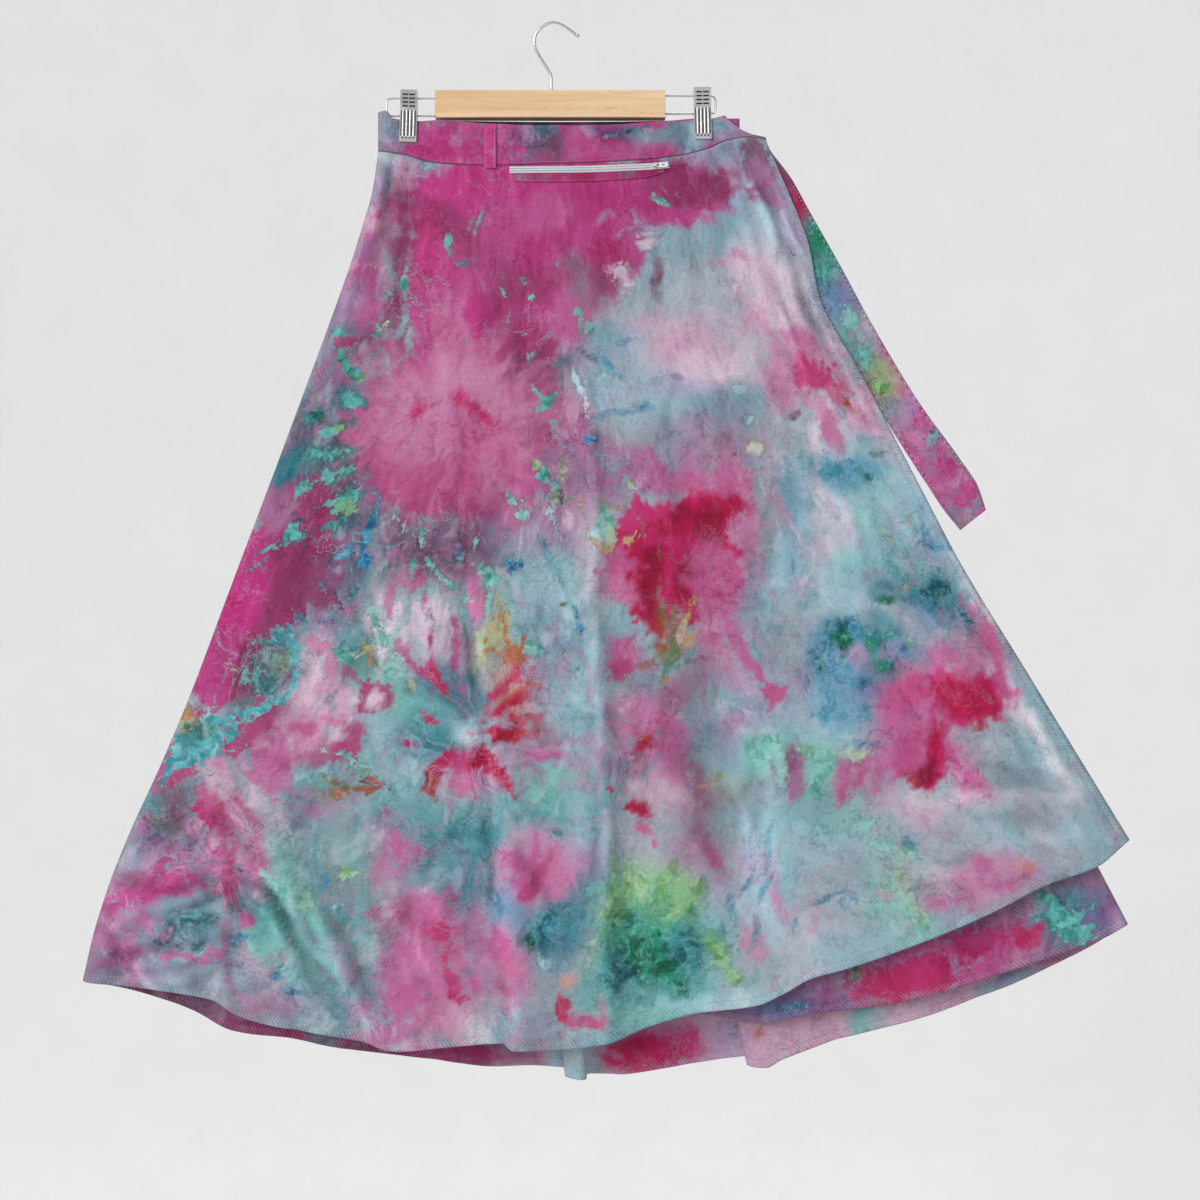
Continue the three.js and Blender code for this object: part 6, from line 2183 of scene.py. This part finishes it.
def makePanel(name, grid, place, weave, dye, base, freeEdge, node, **dyeAndShadeSettings):
    piece, points = clothGrid(name, grid[0], grid[1], lifted(place), weave, hemClose)
    dyeAndShadeCloth(piece, points, base, *dye, **dyeAndShadeSettings)
    hemAttributes(piece, points, grid[0], grid[1], freeEdge)
    thicken(piece, cloth["panel"])
    dress(piece, frontCloth, "skirt", "dyed_cloth", node)
    print("skirt:", name, "area", round(meshArea(piece), 3))
    return piece


frontPiece = makePanel("front_cloth", panelGrid["front"], frontPlace, (1.0, 0.96),
                       (frontWashes, frontStains, frontFlecks), "mist", True, "front_panel",
                       creases=frontCreases, crumples=frontCrumples)
backPiece = makePanel("back_cloth", panelGrid["back"], backPlace, (1.0, 0.96),
                      (backWashes, backStains, backFlecks), "pale", False, "back_panel",
                      creases=backCreases, crumples=backCrumples, creaseSeed=creasing["backSeed"],
                      calm=0.6, warp=24)
underPiece = makePanel("under_cloth", panelGrid["under"], underPlace, (0.6, 0.92),
                       (underWashes, underStains, underFlecks), "mauve", False, "under_panel", calm=0.4)


# Waistband and ties.
bandSettings = {"front": (200, 22), "back": (160, 16), "under": (100, 14), "edgeBevel": 0.0006}


def frontBandPlace(share, drop):
    lower = blend(waist["left"], waist["tip"], share)
    fan = np.maximum(0, lower - waist["fans"]) / (waist["tip"] - waist["fans"])
    upper = lower - fan * (waist["tip"] - waist["topRight"])
    x = blend(upper, lower, drop)
    top = readTable(bandTopRows, "across", "height", upper)
    bottom = readTable(seamRows, "across", "height", lower) + 2 * cloth["gap"]
    sag = waist["sag"] * fan ** 3 * np.sin(np.pi * drop ** 0.7)
    ripple = 0.35 * softNoise(share * 40, drop * 2, 1, 61) * np.sin(np.pi * drop)
    return np.stack([x, frontDepth(x) - ripple, blend(top, bottom, drop) - sag], 1)


def straightBandPlace(start, depth, topRows, bottomRows):
    def place(share, drop):
        x = blend(start, waist["fold"], share)
        top = readTable(topRows, "across", "height", x)
        bottom = readTable(bottomRows, "across", "height", x) + cloth["gap"]
        return np.stack([x, depth(x), blend(top, bottom, drop)], 1)
    return place


def makeStrip(name, grid, place, weave, dye, base, thickness, node, material=None, warp=6):
    piece, points = clothGrid(name, grid[0], grid[1], place, weave)
    dyeAndShadeCloth(piece, points, base, *dye, warp=warp)
    thicken(piece, thickness)
    softEdges(piece, bandSettings["edgeBevel"], 60)
    dress(piece, material or bandCloth, "skirt", "dyed_cloth", node)
    print("skirt:", name, "area", round(meshArea(piece), 4))
    return piece


bandDye = (bandWashes, bandStains, bandFlecks)
frontBandPiece = makeStrip("front_waistband", bandSettings["front"], frontBandPlace, (0.42, 0.045), bandDye,
                           "fuchsia", cloth["band"], "waistband_front")
backBandPiece = makeStrip(
    "back_waistband", bandSettings["back"],
    straightBandPlace(waist["left"], backDepth, backTopRows, backSeamRows),
    (0.39, 0.042), bandDye, "mauve", cloth["band"], "waistband_back",
)
underBandPiece = makeStrip(
    "under_waistband", bandSettings["under"],
    straightBandPlace(waist["underEnd"], underDepth, underTopRows, underSeamRows),
    (0.26, 0.042), ([], bandStains, []), "rose", cloth["band"], "waistband_under",
)

tieRows = [  # outer edge across and height, inner edge across and height, depth
    (231, -130, 190, -111, -3.6), (241, -144, 204, -163, -3.6), (258, -166, 222, -190, -3.7),
    (280, -205, 245, -226, -4), (317, -271, 283, -292, -4.6), (345, -323, 310, -343, -5),
    (397, -410, 362, -431, -4.6), (443, -474, 406, -500, -5.4), (463, -504, 426, -530, -4.2),
    (472, -530, 444, -552, -4),
]
innerTie = {"wide": 40, "long": 500, "top": -114, "hang": -9, "settled": 0.4}


def outerTiePlace(share, drop):
    rows = table("outerX outerZ innerX innerZ depth", tieRows)
    rows["step"] = np.linspace(0, 1, len(tieRows))
    inner = np.stack([readTable(rows, "step", k, drop) for k in ("innerX", "depth", "innerZ")], 1)
    outer = np.stack([readTable(rows, "step", k, drop) for k in ("outerX", "depth", "outerZ")], 1)
    points = blend(inner, outer, share[:, None])
    ripple = 0.5 * softNoise(share * 2, drop * 16, 1, 71) + 0.25 * softNoise(share * 5, drop * 40, 1, 72)
    points[:, 1] -= ripple
    return points


def innerTiePlace(share, drop):
    right = waist["underEnd"] - 2 * cloth["gap"]
    x = blend(right - innerTie["wide"], right, share)
    behind = frontDepth(x) + cloth["band"] + 2 * cloth["gap"]
    y = blend(behind, innerTie["hang"], smooth(0, innerTie["settled"], drop))
    return np.stack([x, y, innerTie["top"] - innerTie["long"] * drop], 1)


tieDye = (tieWashes, tieStains, tieFlecks)
outerTiePiece = makeStrip("outer_tie_cloth", (18, 180), outerTiePlace, (0.041, 0.5), tieDye, "rose",
                          cloth["band"], "outer_tie", tieCloth)
innerTiePiece = makeStrip("inner_tie_cloth", (12, 120), innerTiePlace, (0.04, 0.5), ([], [], backFlecks),
                          "sea", cloth["band"], "inner_tie", tieCloth)

beltLoop = {"across": -67, "wide": 13.6, "above": -112, "below": -160.5, "thick": 1.2, "bulge": 0.8}
loopStains = [(490, 140, 40, 60, 0, "bright", 1, 10, 1)]


def beltLoopPlace(share, drop):
    x = beltLoop["across"] + beltLoop["wide"] * (share - 0.5)
    stand = cloth["band"] / 2 + cloth["gap"] + beltLoop["thick"] / 2
    stand = stand + beltLoop["bulge"] * np.sin(np.pi * drop)
    return np.stack([x, frontDepth(x) - stand, blend(beltLoop["above"], beltLoop["below"], drop)], 1)


loopPiece = makeStrip("belt_loop_cloth", (8, 30), beltLoopPlace, (0.0136, 0.049), ([], loopStains, []),
                      "deep", beltLoop["thick"], "belt_loop", tieCloth)
print("skirt: bands and ties made")


# Zip pocket.
zipSettings = {
    "from": -46, "to": 125, "dropLeft": 2, "dropRight": 5, "tall": 7, "thick": 1, "slider": 109.5, "welt": 1,
}
weltRows = table("across upper lower", [
    (-42.5, 9.8, 17.5), (-20, 10, 19.5), (52, 11, 20.5), (96, 12, 20), (118, 12.5, 15.5),
])


# A place on the front panel, so many millimetres below the waistband's seam.
def belowSeam(across, drop):
    share = (across - waist["left"]) / (waist["tip"] - waist["left"])
    whole = frontPlace(share, np.ones_like(share)) - frontPlace(share, np.zeros_like(share))
    return frontPlace(share, drop / np.linalg.norm(whole, axis=1))


def zipPlace(share, down, out=0.0):
    drop = blend(zipSettings["dropLeft"], zipSettings["dropRight"], share) + zipSettings["tall"] * down
    points = belowSeam(blend(zipSettings["from"], zipSettings["to"], share), drop)
    points[:, 1] -= cloth["panel"] / 2 + cloth["gap"] + zipSettings["thick"] / 2 + out
    return points


def weltPlace(share, down):
    x = blend(weltRows["across"][0], weltRows["across"][-1], share)
    upper = readTable(weltRows, "across", "upper", x)
    points = belowSeam(x, blend(upper, readTable(weltRows, "across", "lower", x), down))
    points[:, 1] -= cloth["panel"] / 2 + cloth["gap"] + zipSettings["welt"] / 2
    points[:, 1] -= 0.25 * np.sin(share * 150) * np.sin(np.pi * down)
    return points


tapePiece, _ = clothGrid("zip_tape_woven", 80, 6, zipPlace, (0.171, 0.007))
thicken(tapePiece, zipSettings["thick"])
dress(tapePiece, tapeCloth, "skirt", "zip_tape", "zip_tape")
weltPiece = makeStrip("pocket_welt_cloth", (120, 8), weltPlace, (0.16, 0.01), ([], [], []), "deep",
                      zipSettings["welt"], "pocket_welt", tieCloth)


# Small pieces set in a row, joined into one mesh. Each has its middle, its length direction and a side.
def setInRow(name, middles, alongs, outs, shape):
    joined = bmesh.new()
    for middle, forward, out in zip(middles, alongs, outs):
        forward = Vector(forward).normalized()
        side = Vector(out).cross(forward).normalized()
        up = forward.cross(side)
        turn = Matrix((forward, side, up)).transposed().to_4x4()
        made = shape(joined)
        bmesh.ops.transform(joined, matrix=Matrix.Translation(Vector(middle) * mm) @ turn, verts=made)
    piece = asPiece(name, joined)
    piece.data.shade_smooth()
    return piece


def bead(long, wide, high):
    def shape(joined):
        made = bmesh.ops.create_icosphere(joined, subdivisions=1, radius=0.5)["verts"]
        bmesh.ops.scale(joined, vec=(long * mm, wide * mm, high * mm), verts=made)
        return made
    return shape


coilSettings = {"pitch": 1.55, "stand": 0.55, "tooth": (0.8, 2.1, 0.9)}
count = int((zipSettings["slider"] - 4 - zipSettings["from"]) / coilSettings["pitch"])
spots = (np.arange(count) + 0.5) * coilSettings["pitch"] / (zipSettings["to"] - zipSettings["from"])
middles = zipPlace(spots, np.full(count, 0.5), coilSettings["stand"] + zipSettings["thick"] / 2 - 0.2)
coilPiece = setInRow("zip_coil", middles, [(1, 0, -0.02)] * count, [(0, -1, 0)] * count,
                     bead(*coilSettings["tooth"]))
dress(coilPiece, coilNylon, "skirt", "zip_tape")


# Sewing: rows of stitches, each a small bead of thread.
def stitchRow(name, place, long, pitch, thread, colour, lift):
    count = max(2, int(long / pitch))
    at = (np.arange(count) + 0.5) / count
    step = 0.15 / count
    middles, ahead, behind = place(at), place(at + step), place(at - step)
    outs = [(0, -1 if lift > 0 else 1, 0)] * count
    middles[:, 1] -= lift
    row = setInRow(name, middles, ahead - behind, outs, bead(pitch * 0.72, thread, thread * 0.8))
    dress(row, colour, "skirt", "dyed_cloth")


sewing = {"pitch": 3.0, "thread": 0.55, "fromHem": 9.6, "stand": 0.75}
edgeSewing = {"in": 7, "turnedIn": 4, "waistLong": 440, "hemLong": 1230}


def alongHem(place, length):
    return lambda at: place(np.clip(at, 0.002, 0.998), np.full_like(at, 1 - sewing["fromHem"] / length))


# Paths that run along a strip, or across it, from one share of its length for another share of it.
def alongStrip(place, down, start, span):
    return lambda at: place(start + span * at, np.full_like(at, down))


def downStrip(place, across, start, span):
    return lambda at: place(np.full_like(at, across), start + span * at)


def downWrapEdge(at):
    wide = blend(edgeSewing["waistLong"], edgeSewing["hemLong"], at)
    inward = (edgeSewing["in"] + edgeSewing["turnedIn"] * at) / wide
    return frontPlace(1 - inward, np.clip(at, 0.005, 0.985))


# Name, path, length, pitch and thickness of the thread in millimetres, thread, and how far it stands out.
seams = [
    ("front_hem_stitches", alongHem(frontPlace, 940), frontHemLong / mm, sewing["pitch"], sewing["thread"],
     paleThread, sewing["stand"]),
    ("back_hem_stitches", alongHem(backPlace, 990), backHemLong / mm, sewing["pitch"], sewing["thread"],
     paleThread, -sewing["stand"]),
    ("wrap_edge_stitches", downWrapEdge, 960, sewing["pitch"], sewing["thread"], pinkThread, sewing["stand"]),
    ("band_seam_stitches", alongStrip(frontBandPlace, 0.955, 0.005, 0.99), 420, 2.8, 0.5, pinkThread, 1.1),
    ("band_top_stitches", alongStrip(frontBandPlace, 0.04, 0.005, 0.94), 380, 2.8, 0.5, pinkThread, 1.1),
    ("tie_stitches_inner", downStrip(outerTiePlace, 0.06, 0.06, 0.92), 480, 5.5, 0.8, navyThread, 1.15),
    ("pale_tie_stitches_inner", downStrip(outerTiePlace, 0.06, 0.0655, 0.92), 480, 5.5, 0.6, paleThread, 1.1),
    ("tie_stitches_outer", downStrip(outerTiePlace, 0.94, 0.06, 0.92), 480, 5.5, 0.8, navyThread, 1.15),
    ("pale_tie_stitches_outer", downStrip(outerTiePlace, 0.94, 0.0655, 0.92), 480, 5.5, 0.6, paleThread, 1.1),
    ("zip_stitches_upper", alongStrip(zipPlace, 0.1, 0, 1), 171, 2.4, 0.4, paleThread, 0.55),
    ("zip_stitches_lower", alongStrip(zipPlace, 0.9, 0, 1), 171, 2.4, 0.4, paleThread, 0.55),
    ("welt_stitches", alongStrip(weltPlace, 0.85, 0, 1), 160, 2.6, 0.45, pinkThread, 0.6),
    ("loop_stitches_left", downStrip(beltLoopPlace, 0.15, 0.03, 0.94), 46, 2.6, 0.45, paleThread, 0.7),
    ("loop_stitches_right", downStrip(beltLoopPlace, 0.85, 0.03, 0.94), 46, 2.6, 0.45, paleThread, 0.7),
]
for seam in seams:
    stitchRow(*seam)
print("skirt: zip and sewing made")


# Hanger, slider and pull keep their shapes, with softer edges.
def refined(name, node, material, body, slot, bevel):
    data = nodes[node].data.copy()
    piece = inScene(name, data)
    work = bmesh.new()
    work.from_mesh(data)
    bmesh.ops.remove_doubles(work, verts=work.verts, dist=1e-6)
    bmesh.ops.dissolve_limit(work, angle_limit=math.radians(0.5), verts=work.verts, edges=work.edges)
    work.to_mesh(data)
    work.free()
    data.shade_smooth()
    if bevel:
        softEdges(piece, bevel, 38)
    normals = piece.modifiers.new("normals", "WEIGHTED_NORMAL")
    normals.keep_sharp = True
    dress(piece, material, body, slot, node)
    return piece


# A flat dark sheet behind the slots of a clip's jaw, put there as painted shade for the inside of the clip,
# in millimetres: its upper and lower edges, out and up.
shadeSheet = {"half": 7.2, "thick": 0.3, "upper": (5.75, -3.6), "lower": (3.6, -18.8)}


def slotShadeSheet(side, part):
    across, top, tilt = clips[side]
    a = math.radians(tilt)
    way = -1 if part == "front" else 1
    form = bmesh.new()
    corners = []
    for out, high in (shadeSheet["upper"], shadeSheet["lower"]):
        for x in (-shadeSheet["half"], shadeSheet["half"]):
            for deep in (0, shadeSheet["thick"]):
                place = (across / mm + x * math.cos(a) + high * math.sin(a), way * (out - deep),
                         top / mm - x * math.sin(a) + high * math.cos(a))
                corners.append(form.verts.new([value * mm for value in place]))
    bmesh.ops.convex_hull(form, input=corners)
    bmesh.ops.recalc_face_normals(form, faces=form.faces)
    dress(asPiece("clip_slot_shade_" + side + "_" + part, form), slotShadeSteel, "skirt", "hanger_steel")


refined("slider_of_zip", "zip_slider", enamel, "skirt", "zip_metal", 0.00022)
refined("zip_pull_tab", "zip_pull", enamel, "pull", "zip_metal", 0.00018)
refined("wooden_bar", "hanger_bar", beech, "skirt", "hanger_wood", 0)
for side in ("left", "right"):
    for part in ("front", "back"):
        refined("clip_jaw_" + side + "_" + part, "clip_" + side + "_" + part, jawSteel[side], "skirt",
                "hanger_steel", 0.00012)
        slotShadeSheet(side, part)
    refined("clip_spring_" + side, "clip_" + side + "_spring", springSteel, "skirt", "hanger_steel", 0.0003)
    refined("hanger_wire_" + side, "wire_" + side, nickel, "skirt", "hanger_steel", 0)
refined("wire_hook", "hanger_hook", nickel, "skirt", "hanger_steel", 0)
print("skirt: hanger made")

# Studio: a pale sweep far behind the skirt, three soft lamps and pale air.
studio = {
    "wall": 4.2, "front": -5.0, "top": 1.9, "floor": -2.7, "turn": 0.4, "steps": 12,
    "wide": 6.0, "tone": (0.775, 0.775, 0.775),
}


def makeStudio():
    sweep = bmesh.new()
    profile = [(studio["front"], studio["floor"])]
    for i in range(studio["steps"] + 1):
        a = math.radians(90 * i / studio["steps"])
        profile.append((studio["wall"] - studio["turn"] * (1 - math.sin(a)),
                        studio["floor"] + studio["turn"] * (1 - math.cos(a))))
    profile.append((studio["wall"], studio["top"]))
    verts = [sweep.verts.new((-studio["wide"], y, z)) for y, z in profile]
    edges = [sweep.edges.new((a, b)) for a, b in zip(verts, verts[1:])]
    drawn = bmesh.ops.extrude_edge_only(sweep, edges=edges)["geom"]
    moved = [v for v in drawn if isinstance(v, bmesh.types.BMVert)]
    bmesh.ops.translate(sweep, vec=(2 * studio["wide"], 0, 0), verts=moved)
    bmesh.ops.recalc_face_normals(sweep, faces=sweep.faces)
    backdrop = asPiece("studio", sweep)
    backdrop.data.shade_smooth()
    m = Nodes("matt paper")
    grain = m.noise(5, 5, 0.6)
    tone = m.mix(m.ramp(grain, 0.3, 0.7), studio["tone"], [c * 1.03 for c in studio["tone"]])
    backdrop.data.materials.append(m.finish(tone, m.bump(m.noise(40, 4), 0.05, 0.001), 0.95))


makeStudio()
lamps = {  # towards the skirt from, width of the source in degrees, strength, colour
    "window": ((-1.3, -1.5, 0.9), 40, 2.35, (1.0, 0.995, 0.99)),
    "bounce": ((1.2, -1.6, -0.3), 60, 0.35, (0.99, 0.995, 1.0)),
    "behind": ((0.6, 2.0, 1.7), 50, 1.5, (1.0, 1.0, 1.0)),
}
for name, (source, wide, strength, tint) in lamps.items():
    light = bpy.data.lights.new(name, "SUN")
    light.angle = math.radians(wide)
    light.energy = strength
    light.color = tint
    lamp = inScene(name, light)
    lamp.location = source
    lamp.rotation_euler = (-Vector(source)).to_track_quat("-Z", "Y").to_euler()
world = bpy.data.worlds.new("studio air")
world.use_nodes = True
air = world.node_tree.nodes["Background"]
air.inputs["Color"].default_value = (0.80, 0.81, 0.83, 1)
air.inputs["Strength"].default_value = 0.36
scene.world = world

print("skirt: done")
